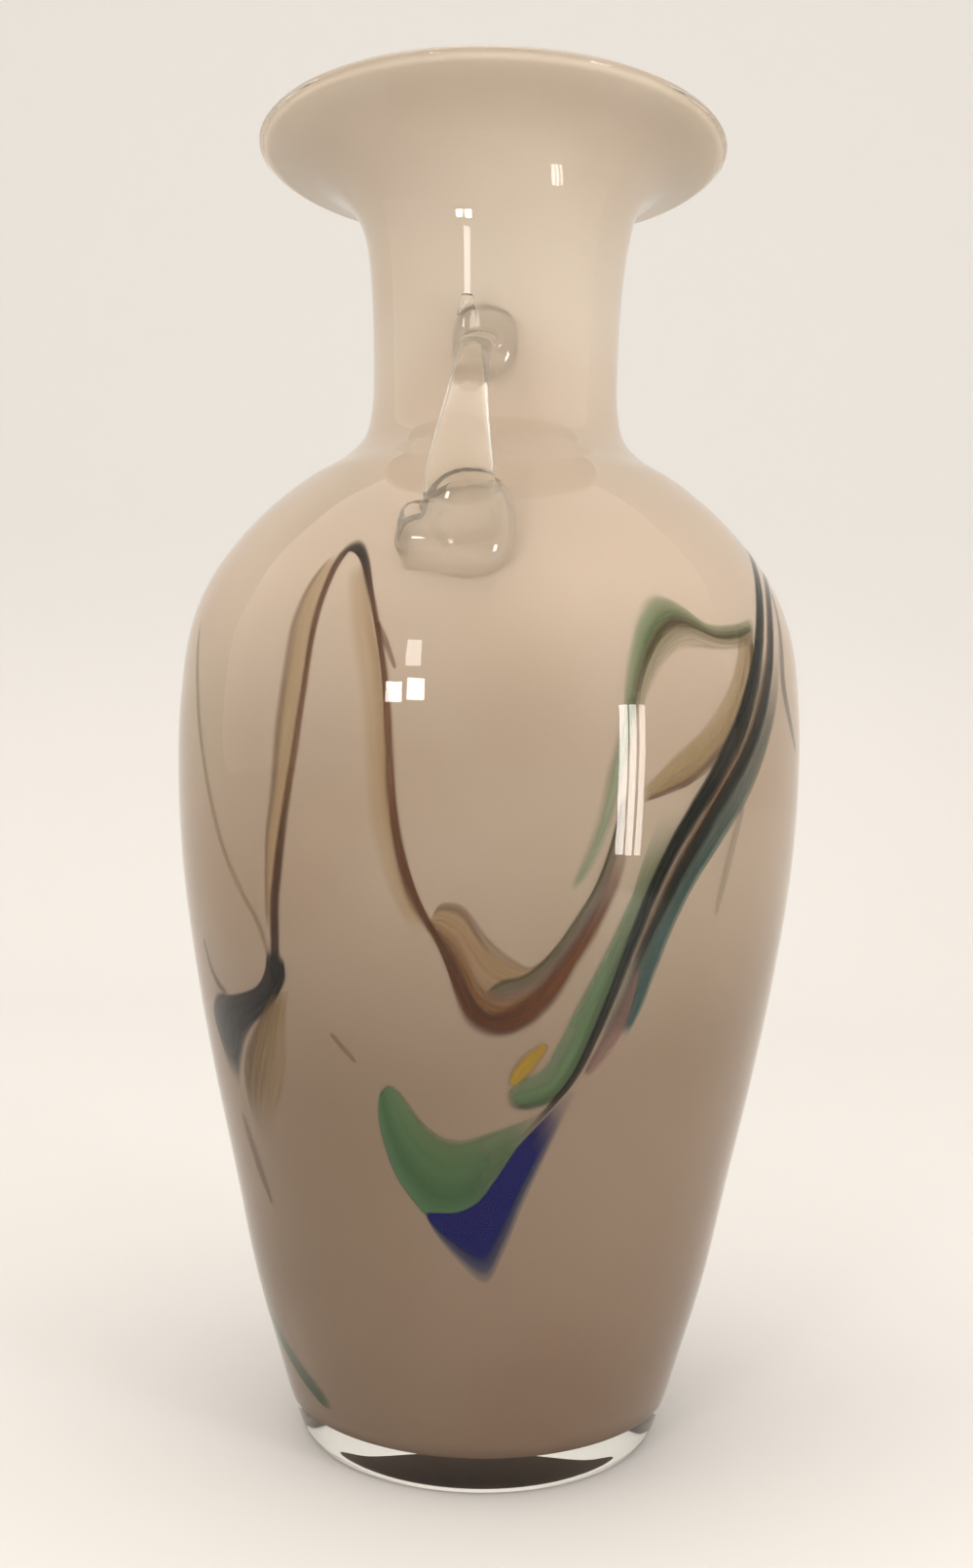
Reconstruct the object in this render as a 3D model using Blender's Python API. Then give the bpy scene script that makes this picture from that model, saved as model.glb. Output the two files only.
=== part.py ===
# Hand blown cased glass vase with drawn colour trails and two applied clear handles.
# Metres, +Z up. The origin is the centre of the ground foot, on the surface that the vase stands on.
# Angles run around the vase from the front (-Y) towards +X.
import bisect
import math

import bmesh
import bpy

MM = 0.001

# Driving dimensions of the outline, in millimetres
HEIGHT = 303.5
FOOT_RADIUS = 41.0
BODY_RADIUS = 73.3
BODY_LEVEL = 153.0
NECK_RADIUS = 29.2
NECK_LEVEL = 252.0
LIP_RADIUS = 55.4

# Glass walls, in millimetres, measured inwards from the outer face
CASING_THICK = 2.0
CORE_THICK = 2.0
LIP_CASING_THICK = 1.4
LIP_CORE_THICK = 1.6
GAP = 0.3
TRAIL_THICK = 0.3
TRAIL_COVER = 0.65
TRAIL_GAP = 0.4
TRAIL_SEAM = TRAIL_COVER + 2 * TRAIL_GAP + 2 * TRAIL_THICK
FOOT_THICK = 8.0
CORE_CORNER = 6.0
LIP_BEAD = 10.2
LIP_LEAN = 1.5

# Where the walls change from body to lip thickness and the lip leans, as heights in millimetres
SEAM_TOP = 214.0
SEAM_CLOSED = 228.0
THIN_FROM = 262.0
THIN_TO = 292.0
LEAN_FROM = 280.0
LEAN_TO = 298.0

# Fineness of the turned shells and the trails
CURVE_STEPS = 12
CORNER_STEPS = 3
TURN_STEPS = 44
RING_SAG = 0.2
RING_STEP_MIN = 2.6
RING_STEP_MAX = 15.0
TRAIL_STEP = 7.0
TRAIL_ACROSS = 5.0
SHARP_ANGLE = 40.0

# The two clear handles
HANDLE_GOB_LEVEL = 206.5
HANDLE_GOB_ACROSS = 21.0
HANDLE_GOB_ALONG = 29.0
HANDLE_GOB_THICK = 8.5
HANDLE_PRESS_LEVEL = 249.5
HANDLE_PRESS_SIZE = 15.5
HANDLE_PRESS_THICK = 4.2

# Surface of every glass
GLASS_IOR = 1.5
POLISHED = 0.03
SATIN = 0.1
CLEAR_ALPHA = 0.35

# The outline, foot to lip: radius and height of each point that the shape needs
OUTLINE = [
    (FOOT_RADIUS, 0.0),
    (FOOT_RADIUS + 1.2, 1.5),
    (FOOT_RADIUS + 2.6, 5.0),
    (FOOT_RADIUS + 4.4, 10.0),
    (48.4, 20.0),
    (53.6, 38.0),
    (58.8, 62.0),
    (63.9, 85.0),
    (68.3, 108.0),
    (71.8, 132.0),
    (BODY_RADIUS, BODY_LEVEL),
    (73.1, 170.0),
    (70.9, 187.0),
    (66.2, 199.0),
    (57.0, 211.5),
    (45.8, 221.7),
    (36.2, 228.0),
    (31.2, 233.5),
    (NECK_RADIUS + 0.2, 241.0),
    (NECK_RADIUS, NECK_LEVEL),
    (30.0, 270.0),
    (31.4, 281.0),
    (33.6, 288.0),
    (37.2, 293.0),
    (42.5, 296.6),
    (49.5, 299.0),
    (53.8, 300.2),
    (LIP_RADIUS, 301.9),
    (LIP_RADIUS - 1.0, HEIGHT - 0.2),
    (LIP_RADIUS - 3.4, HEIGHT),
]

# Colours of the glasses, as linear red, green and blue
OPAL = (0.56, 0.43, 0.32)
CLEAR = (0.86, 0.87, 0.84)
DARK_BROWN = (0.055, 0.024, 0.009)
OLIVE_BROWN = (0.10, 0.065, 0.025)
AMBER = (0.30, 0.17, 0.065)
SAGE = (0.11, 0.135, 0.065)
PALE_GREEN = (0.17, 0.20, 0.11)
COBALT = (0.012, 0.016, 0.085)
BOTTLE_GREEN = (0.022, 0.030, 0.014)
TEAL = (0.075, 0.10, 0.09)
MAUVE = (0.16, 0.11, 0.10)
MOSS = (0.19, 0.22, 0.10)
STRAW = (0.34, 0.22, 0.04)

UNDER, OVER = "under", "over"

# Colour trails: name, layer, glass and path. Each point of a path is the angle in degrees, the height and
# the trail's width in millimetres.
TRAILS = [
    ("brown_arch_thread", OVER, DARK_BROWN, [
        (-33.0, 114, 2.6), (-33.3, 126, 2.6), (-31, 137, 2.5), (-29, 148, 2.2), (-27, 160, 1.9),
        (-26, 172, 1.6), (-25, 184, 1.3), (-24.4, 192, 1.6), (-22.4, 199, 2.0), (-19.6, 201.5, 2.2),
        (-17.2, 198, 2.0), (-15, 192, 1.6), (-12.5, 184, 1.5), (-11, 174, 1.9), (-10, 163, 2.3),
        (-9.8, 152, 2.4), (-8.5, 142, 2.5), (-6.5, 133, 2.6), (-3.2, 125.5, 3.0), (0, 118.5, 4.2),
        (3, 111.5, 5.4), (6.5, 106.2, 6.6), (11, 106.6, 5.6), (15.5, 110.6, 4.2), (19.8, 116.2, 3.4),
        (23.4, 122.6, 2.8), (26.2, 129.5, 2.3), (28, 137, 1.7), (28.8, 145, 1.0),
    ]),
    ("olive_inner_thread", OVER, OLIVE_BROWN, [
        (13.0, 114.0, 1.2), (16.2, 117.5, 2.0), (19.6, 121.6, 2.0), (22.6, 127, 2.0), (24.8, 134, 1.8),
        (26.2, 141, 1.4), (26.8, 148, 0.9),
    ]),
    ("amber_fill", UNDER, AMBER, [
        (-1.2, 130, 2.0), (1.6, 124.5, 8.0), (5.6, 118.5, 12.0), (11, 114.5, 12.0), (16, 115.5, 8.0),
        (20.5, 120.5, 4.5), (24, 128, 3.0),
    ]),
    ("amber_veil_left", UNDER, AMBER, [
        (-25.5, 198, 1.2), (-26.6, 189, 3.4), (-27.4, 179, 5.0), (-28.4, 168, 6.0), (-29.6, 158, 6.2),
        (-31.4, 147, 5.6), (-33.2, 136, 4.8), (-34.4, 126, 3.4), (-35.2, 118, 1.6),
    ]),
    ("amber_veil_right", UNDER, AMBER, [
        (-19.5, 197, 1.2), (-16.2, 190, 2.4), (-13.8, 180, 2.4), (-12.4, 168, 3.0), (-11.8, 156, 3.4),
        (-10.8, 144, 3.2), (-9.2, 134, 2.6), (-6.6, 126, 1.2),
    ]),
    ("dark_knot", OVER, DARK_BROWN, [
        (-33.4, 111.6, 3.6), (-35.6, 108.3, 6.4), (-39.8, 105.0, 7.0), (-44.6, 102.4, 8.4),
        (-49, 98.6, 10.6), (-51.6, 94.0, 8.6), (-52.6, 89.4, 4.2), (-52.8, 86.6, 1.6),
    ]),
    ("amber_smear", UNDER, AMBER, [
        (-32.4, 108.5, 2.4), (-36.4, 102.5, 6.0), (-41, 97.0, 8.4), (-45, 91.5, 9.0),
        (-47.6, 86.0, 6.4), (-49, 80.6, 2.2),
    ]),
    ("sage_patch", UNDER, SAGE, [
        (-11.6, 93.6, 2.6), (-11.0, 89.8, 7.6), (-9.0, 82.0, 11.6), (-5.2, 76.0, 14.2),
        (0.6, 73.4, 15.6), (6.4, 76.2, 12.6), (11.0, 80.6, 8.0), (14.6, 84.2, 4.0), (17.0, 86.6, 1.6),
    ]),
    ("cobalt_patch", OVER, COBALT, [
        (23.6, 91.4, 1.2), (20.2, 85.4, 3.0), (16.6, 79.6, 4.4), (13.2, 74.0, 5.6), (9.4, 68.6, 8.4),
        (5.6, 63.8, 12.6), (1.6, 59.9, 16.0),
    ]),
    ("pale_green_patch", UNDER, PALE_GREEN, [
        (10.6, 91.2, 2.4), (14.6, 92.4, 5.6), (19, 96.4, 7.4), (22.6, 102.8, 7.0), (24.8, 110, 6.0),
        (27.0, 118, 5.2), (29.6, 126.5, 4.8), (32.2, 135, 4.4), (34.4, 143, 3.4), (35.8, 149.5, 1.6),
    ]),
    ("bottle_green_inner_strand", OVER, BOTTLE_GREEN, [
        (18.6, 88.8, 0.9), (22.6, 94.4, 1.5), (25.2, 100.6, 1.9), (27.4, 111, 2.0), (30.2, 121, 2.1),
        (33.4, 132, 2.3), (37.4, 142, 2.6), (41.8, 151.6, 3.0), (46.4, 160.6, 3.4), (51.6, 170, 3.6),
        (55.6, 179, 3.0), (59.4, 187, 2.6), (65, 195, 2.4), (73, 202.5, 2.2), (82, 206.5, 2.0),
        (90, 207.5, 1.9), (98, 205.5, 1.9), (107, 199, 2.0), (115, 190, 2.2),
        (122.5, 178, 2.4), (129, 164, 2.6), (135.5, 149, 2.6), (141.5, 134, 2.4),
        (147, 118, 2.2), (151.5, 102, 1.8), (155, 90, 0.9),
    ]),
    ("bottle_green_outer_strand", OVER, BOTTLE_GREEN, [
        (32.6, 118.6, 0.9), (34.6, 125.4, 1.9), (37.6, 133.6, 2.6), (41.2, 141, 3.0), (46.2, 150, 3.4),
        (51.4, 158.2, 3.6), (56.2, 166.2, 3.6), (60.2, 174, 3.0), (63.4, 182, 2.6), (66.8, 190, 2.4),
        (72.4, 196.8, 2.2), (81, 201.4, 2.0), (90, 202.6, 1.9), (97, 200.6, 1.9),
        (103.6, 195.4, 2.0), (110, 187, 2.2), (117, 175, 2.4), (123.4, 161.6, 2.4),
        (129.6, 147, 2.2), (135, 132, 1.8), (139, 120, 0.9),
    ]),
    ("teal_strip", UNDER, TEAL, [
        (30.4, 103.2, 2.4), (32.2, 110, 4.8), (34.4, 118, 6.0), (37.2, 127, 6.4), (41.2, 136.4, 6.6),
        (46, 145.4, 6.6), (51.6, 153.6, 6.4), (57.2, 161.4, 6.0), (62, 169, 5.0), (65, 177, 3.4),
        (67, 184, 1.6),
    ]),
    ("mauve_tip", OVER, MAUVE, [
        (25.8, 96.4, 1.2), (27.8, 99.8, 2.8), (29.4, 103.8, 3.4), (30.4, 108.4, 2.4), (31.0, 112.4, 1.2),
    ]),
    ("amber_band", UNDER, AMBER, [
        (31.4, 153.0, 1.2), (34.4, 155.4, 3.4), (39.2, 159.6, 5.0), (43.6, 164.4, 5.6), (47.8, 169.6, 5.8),
        (51.4, 175.6, 5.6), (54.0, 182.0, 4.6), (55.2, 187.4, 2.0),
    ]),
    ("moss_loop", OVER, MOSS, [
        (28.8, 167.6, 3.2), (30.2, 174.6, 4.6), (32.0, 181.4, 5.2), (35.0, 186.4, 5.4),
        (39.0, 186.8, 4.8), (43.2, 184.6, 3.6), (48.0, 184.2, 3.0), (53, 185.0, 2.4), (56.4, 185.8, 1.2),
    ]),
    ("moss_streak", UNDER, MOSS, [
        (28.8, 168.6, 3.2), (27.2, 161, 4.0), (25.4, 154, 4.0), (23.8, 147, 3.2), (22.2, 141.6, 2.2),
        (20.6, 136.4, 1.0),
    ]),
    ("yellow_fleck", OVER, STRAW, [(11.8, 94.6, 1.0), (13.8, 97.0, 2.6), (16.4, 99.6, 1.0)]),
    ("left_fine_thread", OVER, OLIVE_BROWN, [
        (-62, 192, 0.9), (-58.6, 181, 1.3), (-55.6, 170, 1.3), (-52.8, 160, 1.2), (-49.2, 149, 1.2),
        (-45.6, 138, 1.1), (-41.6, 130, 1.1), (-37.4, 123.6, 0.9),
    ]),
    ("left_low_thread", OVER, OLIVE_BROWN, [
        (-58.2, 117, 0.9), (-57.0, 112.4, 1.2), (-54.6, 109, 1.4), (-51.4, 107.0, 1.0),
    ]),
    ("left_brown_dash", OVER, OLIVE_BROWN, [
        (-57.4, 76.4, 0.9), (-55.6, 72.4, 1.8), (-53, 66.6, 2.2), (-50.2, 60.4, 1.0),
    ]),
    ("brown_tick", OVER, OLIVE_BROWN, [(-22, 101.6, 0.8), (-20, 99.2, 1.2), (-17.8, 96.6, 0.8)]),
    ("grey_hair_line", OVER, TEAL, [
        (53.4, 149.5, 0.9), (51.4, 141, 1.1), (49.8, 133, 1.0), (48.6, 126, 0.8),
    ]),
    ("right_edge_streak", OVER, TEAL, [
        (73, 188, 1.0), (70, 180, 2.2), (71, 173, 2.6), (74.4, 166.4, 2.0), (79, 160, 1.0),
    ]),
    ("lower_left_green_strip", OVER, BOTTLE_GREEN, [
        (-38.6, 14.6, 1.2), (-44.6, 16.8, 3.8), (-52.4, 21.4, 5.0), (-60, 26.2, 5.6), (-68, 31.4, 5.6),
        (-78, 38.4, 5.2), (-90, 47, 4.8), (-104, 57, 4.4), (-118, 68, 3.6), (-130, 78, 2.0),
    ]),
    ("back_brown_arch_thread", OVER, DARK_BROWN, [
        (214, 104, 2.4), (213, 118, 2.4), (211, 132, 2.3), (208.6, 146, 2.1), (206, 160, 1.9),
        (204, 174, 1.7), (201.6, 186, 1.6), (198, 192.6, 2.0), (194.4, 190, 2.0), (192.4, 181, 1.7),
        (191, 168, 2.0), (190.2, 154, 2.3), (188.6, 140, 2.5), (185.6, 127, 2.8), (181.4, 115, 3.6),
        (176.4, 105.6, 4.8), (171, 101.0, 5.4), (165.6, 104.6, 4.4), (161.2, 112.4, 3.4),
        (157.4, 122, 2.6), (154.4, 133, 2.0), (152.6, 144, 1.0),
    ]),
    ("back_amber_veil", UNDER, AMBER, [
        (203.6, 190, 1.4), (207.0, 179, 4.0), (209.4, 165, 5.6), (211.8, 151, 5.8), (214, 137, 5.0),
        (215.4, 123, 3.6), (215.8, 110, 1.6),
    ]),
    ("back_sage_patch", UNDER, SAGE, [
        (192.6, 88.6, 2.6), (191.4, 82, 8.6), (187.4, 74, 12.4), (180.6, 69.6, 14.4),
        (173, 71.2, 12.8), (166.2, 77, 8.8), (161, 84, 4.6), (158, 89.6, 2.0),
    ]),
    ("back_cobalt_patch", OVER, COBALT, [
        (158.6, 84.6, 1.2), (161.6, 79, 3.0), (165, 73.6, 4.6), (168.6, 68, 6.2), (172.6, 62.6, 8.8),
        (176.6, 58.2, 11.6), (180.6, 54.6, 13.6),
    ]),
    ("back_amber_band", UNDER, AMBER, [
        (150.6, 148, 1.4), (146.2, 155, 4.0), (141.6, 163, 5.2), (137.4, 171.6, 5.4), (134.6, 180, 4.4),
        (133.4, 187, 1.8),
    ]),
]


def smooth_path(points, steps):
    """A smooth curve through points of any dimension, as a centripetal Catmull-Rom spline."""
    first = [2 * a - b for a, b in zip(points[0], points[1])]
    last = [2 * a - b for a, b in zip(points[-1], points[-2])]
    padded = [first, *points, last]
    curve = []
    for p0, p1, p2, p3 in zip(padded, padded[1:], padded[2:], padded[3:]):
        t0 = 0.0
        t1 = t0 + math.dist(p0, p1) ** 0.5
        t2 = t1 + math.dist(p1, p2) ** 0.5
        t3 = t2 + math.dist(p2, p3) ** 0.5
        for step in range(steps):
            t = t1 + (t2 - t1) * step / steps
            point = []
            for a, b, c, d in zip(p0, p1, p2, p3):
                ab = a + (b - a) * (t - t0) / (t1 - t0)
                bc = b + (c - b) * (t - t1) / (t2 - t1)
                cd = c + (d - c) * (t - t2) / (t3 - t2)
                abc = ab + (bc - ab) * (t - t0) / (t2 - t0)
                bcd = bc + (cd - bc) * (t - t1) / (t3 - t1)
                point.append(abc + (bcd - abc) * (t - t1) / (t2 - t1))
            curve.append(tuple(point))
    curve.append(tuple(points[-1]))
    return curve


def lengths_along(curve):
    total = [0.0]
    for a, b in zip(curve, curve[1:]):
        total.append(total[-1] + math.dist(a[:2], b[:2]))
    return total


def blend(low, high, at):
    """A smooth step from 0 at low to 1 at high."""
    t = min(1.0, max(0.0, (at - low) / (high - low)))
    return t * t * (3 - 2 * t)


outline = smooth_path(OUTLINE, CURVE_STEPS)
outline_length = lengths_along(outline)


def outline_at(distance):
    """The outer face's point and outward normal at a distance along the outline from the foot."""
    i = min(len(outline) - 2, max(0, bisect.bisect_right(outline_length, distance) - 1))
    share = (distance - outline_length[i]) / (outline_length[i + 1] - outline_length[i])
    a, b = outline[i], outline[i + 1]
    before, after = outline[max(0, i - 1)], outline[min(len(outline) - 1, i + 2)]
    tangent = [
        (1 - share) * (b[k] - before[k]) + share * (after[k] - a[k]) for k in (0, 1)
    ]
    size = math.hypot(*tangent)
    normal = (tangent[1] / size, -tangent[0] / size)
    return (a[0] + (b[0] - a[0]) * share, a[1] + (b[1] - a[1]) * share), normal


def walls_at(height):
    """Casing, seam and core thickness of the wall at a height."""
    thin = blend(THIN_FROM, THIN_TO, height)
    casing = CASING_THICK + (LIP_CASING_THICK - CASING_THICK) * thin
    core = CORE_THICK + (LIP_CORE_THICK - CORE_THICK) * thin
    seam = TRAIL_SEAM + (GAP - TRAIL_SEAM) * blend(SEAM_TOP, SEAM_CLOSED, height)
    return casing, seam, core


def inside(distance, depth):
    """The point at a depth behind the outer face."""
    (r, z), normal = outline_at(distance)
    return r - normal[0] * depth, z - normal[1] * depth


def casing_inner(distance):
    casing, _, _ = walls_at(outline_at(distance)[0][1])
    return inside(distance, casing)


def core_outer(distance):
    casing, seam, _ = walls_at(outline_at(distance)[0][1])
    return inside(distance, casing + seam)


def core_inner(distance):
    casing, seam, core = walls_at(outline_at(distance)[0][1])
    return inside(distance, casing + seam + core)


def ring_distances(start, end):
    """Distances along the outline, closer together where it bends, so that each chord sags alike."""
    places = [start]
    while places[-1] < end:
        here = places[-1]
        _, n0 = outline_at(here)
        _, n1 = outline_at(min(end, here + RING_STEP_MIN))
        bend = abs(math.atan2(n0[0] * n1[1] - n0[1] * n1[0], n0[0] * n1[0] + n0[1] * n1[1]))
        curvature = max(1e-6, bend / RING_STEP_MIN)
        step = min(RING_STEP_MAX, max(RING_STEP_MIN, math.sqrt(8 * RING_SAG / curvature)))
        places.append(here + step)
    places.pop()
    if end - places[-1] < 0.4 * RING_STEP_MIN:
        places.pop()
    places.append(end)
    return places


def distance_at(height, depth):
    """How far along the outline a wall layer has a height, from the foot up to the shoulder."""
    low, high = 0.0, outline_length[-1]
    for k, (_, z) in enumerate(outline):
        if z > NECK_LEVEL:
            high = outline_length[k]
            break
    for _ in range(40):
        middle = (low + high) / 2
        if inside(middle, depth)[1] < height:
            low = middle
        else:
            high = middle
    return (low + high) / 2


def lean_at(height):
    """The lip's small sideways lean, in millimetres towards -X."""
    return -LIP_LEAN * blend(LEAN_FROM, LEAN_TO, height)


def at_angle(radius, height, degrees):
    turn = math.radians(degrees)
    x = radius * math.sin(turn) + lean_at(height)
    return (x * MM, -radius * math.cos(turn) * MM, height * MM)


def glass(name, colour, roughness=SATIN, alpha=1.0):
    material = bpy.data.materials.new(name)
    material.use_nodes = True
    shader = material.node_tree.nodes["Principled BSDF"]
    shader.inputs["Base Color"].default_value = (*colour, 1.0)
    shader.inputs["Roughness"].default_value = roughness
    shader.inputs["Metallic"].default_value = 0.0
    shader.inputs["IOR"].default_value = GLASS_IOR
    shader.inputs["Alpha"].default_value = alpha
    return material


def add_object(name, mesh, material):
    part = bpy.data.objects.new(name, mesh)
    bpy.context.collection.objects.link(part)
    mesh.materials.append(material)
    mesh.shade_smooth()
    mesh.set_sharp_from_angle(angle=math.radians(SHARP_ANGLE))
    part.parent = vase
    return part


def mesh_from(name, vertices, faces):
    mesh = bpy.data.meshes.new(name)
    mesh.from_pydata(vertices, [], faces)
    mesh.validate()
    mesh.update()
    return mesh


def turned(name, profile, material):
    """A solid of revolution. The profile runs up the outer side and back down the inner one, and starts and
    ends on the axis."""
    vertices = [at_angle(0, profile[0][1], 0)]
    rings = []
    for r, z in profile[1:-1]:
        rings.append(len(vertices))
        for k in range(TURN_STEPS):
            vertices.append(at_angle(r, z, 360 * k / TURN_STEPS))
    top = len(vertices)
    vertices.append(at_angle(0, profile[-1][1], 0))
    faces = []
    for k in range(TURN_STEPS):
        n = (k + 1) % TURN_STEPS
        faces.append((0, rings[0] + n, rings[0] + k))
        for low, high in zip(rings, rings[1:]):
            faces.append((low + k, low + n, high + n, high + k))
        faces.append((top, rings[-1] + k, rings[-1] + n))
    return add_object(name, mesh_from(name, vertices, faces), material)


def corner(r, z, radius, steps):
    """A quarter round from a floor at height z, tangent to it at r - radius, out to r."""
    points = []
    for k in range(steps + 1):
        a = math.pi / 2 * k / steps
        points.append((r - radius + radius * math.sin(a), z + radius - radius * math.cos(a)))
    return points


def floor_round(wall, start, floor, radius):
    """The rounded floor of a cup whose wall starts at a distance along the outline."""
    r, _ = wall(start)
    arc = corner(r, floor, radius, CORNER_STEPS)
    return [(0.0, floor)] + arc[:-1]


lip_end = outline_length[-1] - LIP_BEAD
wall_start = distance_at(FOOT_THICK + CORE_CORNER + 2, 0)
wall_rings = ring_distances(wall_start, lip_end)


def make_casing():
    """The outer gather, with its thick ground foot and the clear bead that closes the lip."""
    outer = [outline_at(d)[0] for d in ring_distances(0.0, outline_length[-1])]
    bead_inner = inside(lip_end, sum(walls_at(HEIGHT)))
    inner = [casing_inner(d) for d in wall_rings]
    floor = floor_round(casing_inner, wall_start, FOOT_THICK - GAP, CORE_CORNER + 1)
    profile = [(0.0, 0.0)] + outer + [bead_inner] + inner[::-1] + floor[::-1]
    return turned("clear_casing", profile, glass("clear_glass", CLEAR, POLISHED, CLEAR_ALPHA))


def make_core():
    """The opal bubble inside the casing, open at the mouth."""
    distances = wall_rings[:-1] + [lip_end - GAP]
    outer = [core_outer(d) for d in distances]
    inner = [core_inner(d) for d in distances]
    floor = floor_round(core_outer, wall_start, FOOT_THICK, CORE_CORNER)
    cavity = floor_round(core_inner, wall_start, FOOT_THICK + CORE_THICK, CORE_CORNER - 1.5)
    profile = floor + outer + inner[::-1] + cavity[::-1]
    return turned("opal_core", profile, glass("opal_glass", OPAL))


def trail_stations(path, step):
    """Evenly spaced stations of a trail as angle, distance along the outline, width and side direction."""
    middle = CASING_THICK + TRAIL_SEAM / 2
    flat = []
    for angle, height, width in smooth_path(path, CURVE_STEPS):
        flat.append((angle, distance_at(height, middle), width))
    run = [0.0]
    for a, b in zip(flat, flat[1:]):
        radius = inside(a[1], middle)[0]
        run.append(run[-1] + math.hypot(radius * math.radians(b[0] - a[0]), b[1] - a[1]))
    count = max(4, round(run[-1] / step))
    stations = []
    for k in range(count + 1):
        target = run[-1] * k / count
        i = min(len(flat) - 2, max(0, bisect.bisect_right(run, target) - 1))
        share = (target - run[i]) / (run[i + 1] - run[i])
        angle, distance, width = [a + (b - a) * share for a, b in zip(flat[i], flat[i + 1])]
        before, after = flat[max(0, i - 1)], flat[min(len(flat) - 1, i + 2)]
        radius = inside(distance, middle)[0]
        along = (radius * math.radians(after[0] - before[0]), after[1] - before[1])
        size = math.hypot(*along)
        stations.append((angle, distance, width, radius, -along[1] / size, along[0] / size))
    return stations


def make_trail(name, layer, colour, path):
    """A thin ribbon of coloured glass, bent round the core in the seam under the casing."""
    shallow = CASING_THICK + TRAIL_COVER + (0 if layer == OVER else TRAIL_THICK + TRAIL_GAP)
    deep = shallow + TRAIL_THICK
    across = max(1, math.ceil(max(w for _, _, w in path) / TRAIL_ACROSS))
    vertices = []
    rows = []
    for angle, distance, width, radius, side_x, side_y in trail_stations(path, TRAIL_STEP):
        row = []
        for depth in (shallow, deep):
            for k in range(across + 1):
                off = width * (k / across - 0.5)
                r, z = inside(distance + off * side_y, depth)
                row.append(len(vertices))
                vertices.append(at_angle(r, z, angle + math.degrees(off * side_x / radius)))
        rows.append(row)
    n = across + 1
    loop = list(range(n)) + list(range(2 * n - 1, n - 1, -1))
    faces = []
    for low, high in zip(rows, rows[1:]):
        for a, b in zip(loop, loop[1:] + loop[:1]):
            faces.append((low[a], low[b], high[b], high[a]))
    for k in range(across):
        faces.append((rows[0][k], rows[0][n + k], rows[0][n + k + 1], rows[0][k + 1]))
        faces.append((rows[-1][k], rows[-1][k + 1], rows[-1][n + k + 1], rows[-1][n + k]))
    mesh = mesh_from(name, vertices, faces)
    face_out(mesh)
    return add_object(name, mesh, glass(name + "_glass", colour))


def face_out(mesh):
    shape = bmesh.new()
    shape.from_mesh(mesh)
    bmesh.ops.recalc_face_normals(shape, faces=shape.faces)
    shape.to_mesh(mesh)
    shape.free()


def pad(level, across, along, thick, rings=5, steps=16):
    """A domed pad of glass pressed on the outer face, with its base 0.3 mm clear of it."""
    centre = distance_at(level, 0)
    base_radius = inside(centre, 0)[0]

    def place(share, k, lift):
        a = 2 * math.pi * k / steps
        x = 0.5 * across * share * math.cos(a)
        y = 0.5 * along * share * math.sin(a)
        r, z = inside(centre + y, -GAP - lift)
        return at_angle(r, z, math.degrees(x / base_radius))

    vertices = [place(0, 0, 0)]
    levels = [(k / rings, 0.0) for k in range(1, rings)]
    for k in range(rings):
        turn = math.pi / 2 * k / rings
        levels.append((math.cos(turn), thick * math.sin(turn)))
    for share, lift in levels:
        for k in range(steps):
            vertices.append(place(share, k, lift))
    top = len(vertices)
    vertices.append(place(0, 0, thick))
    faces = []
    for k in range(steps):
        n = (k + 1) % steps
        faces.append((0, 1 + n, 1 + k))
        for ring in range(len(levels) - 1):
            low, high = 1 + ring * steps, 1 + (ring + 1) * steps
            faces.append((low + k, low + n, high + n, high + k))
        last = 1 + (len(levels) - 1) * steps
        faces.append((top, last + k, last + n))
    return vertices, faces


def strap(path, sides=10):
    """A drawn strap in the plane of the handle. Each point is radius, height, width and thickness."""
    curve = smooth_path(path, 2)
    vertices = []
    for i, (r, z, wide, thick) in enumerate(curve):
        before, after = curve[max(0, i - 1)], curve[min(len(curve) - 1, i + 1)]
        along = (after[0] - before[0], after[1] - before[1])
        size = math.hypot(*along)
        out = (along[1] / size, -along[0] / size)
        for k in range(sides):
            a = 2 * math.pi * k / sides
            lift = 0.5 * thick * math.cos(a)
            x = 0.5 * wide * math.sin(a)
            vertices.append((x * MM, -(r + out[0] * lift) * MM, (z + out[1] * lift) * MM))
    faces = []
    for i in range(len(curve) - 1):
        for k in range(sides):
            n = (k + 1) % sides
            faces.append((i * sides + k, i * sides + n, (i + 1) * sides + n, (i + 1) * sides + k))
    faces.append(tuple(range(sides)))
    faces.append(tuple(range(len(vertices) - sides, len(vertices))))
    return vertices, faces


def as_tool(name, vertices, faces):
    """A helper solid that a Boolean joins to a piece."""
    mesh = mesh_from(name, vertices, faces)
    face_out(mesh)
    tool = bpy.data.objects.new(name, mesh)
    bpy.context.collection.objects.link(tool)
    tool.hide_render = True
    tool.display_type = "WIRE"
    tool.parent = vase
    return tool


# Centre line of a handle's strap: radius, height, width and thickness
STRAP = [
    (66.4, 206.5, 14.0, 7.0),
    (65.4, 213.5, 14.5, 7.0),
    (61.6, 222.5, 12.8, 6.2),
    (55.4, 231.8, 9.6, 5.6),
    (47.6, 240.2, 8.4, 5.4),
    (40.0, 246.2, 10.0, 5.2),
    (33.6, 249.4, 11.0, 5.0),
]

# The sheared tip above the press: radius, height, width and thickness
TIP = [(31.6, 250.0, 6.0, 2.4), (31.9, 254.6, 4.4, 2.4), (31.7, 258.6, 1.6, 1.4)]


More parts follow.
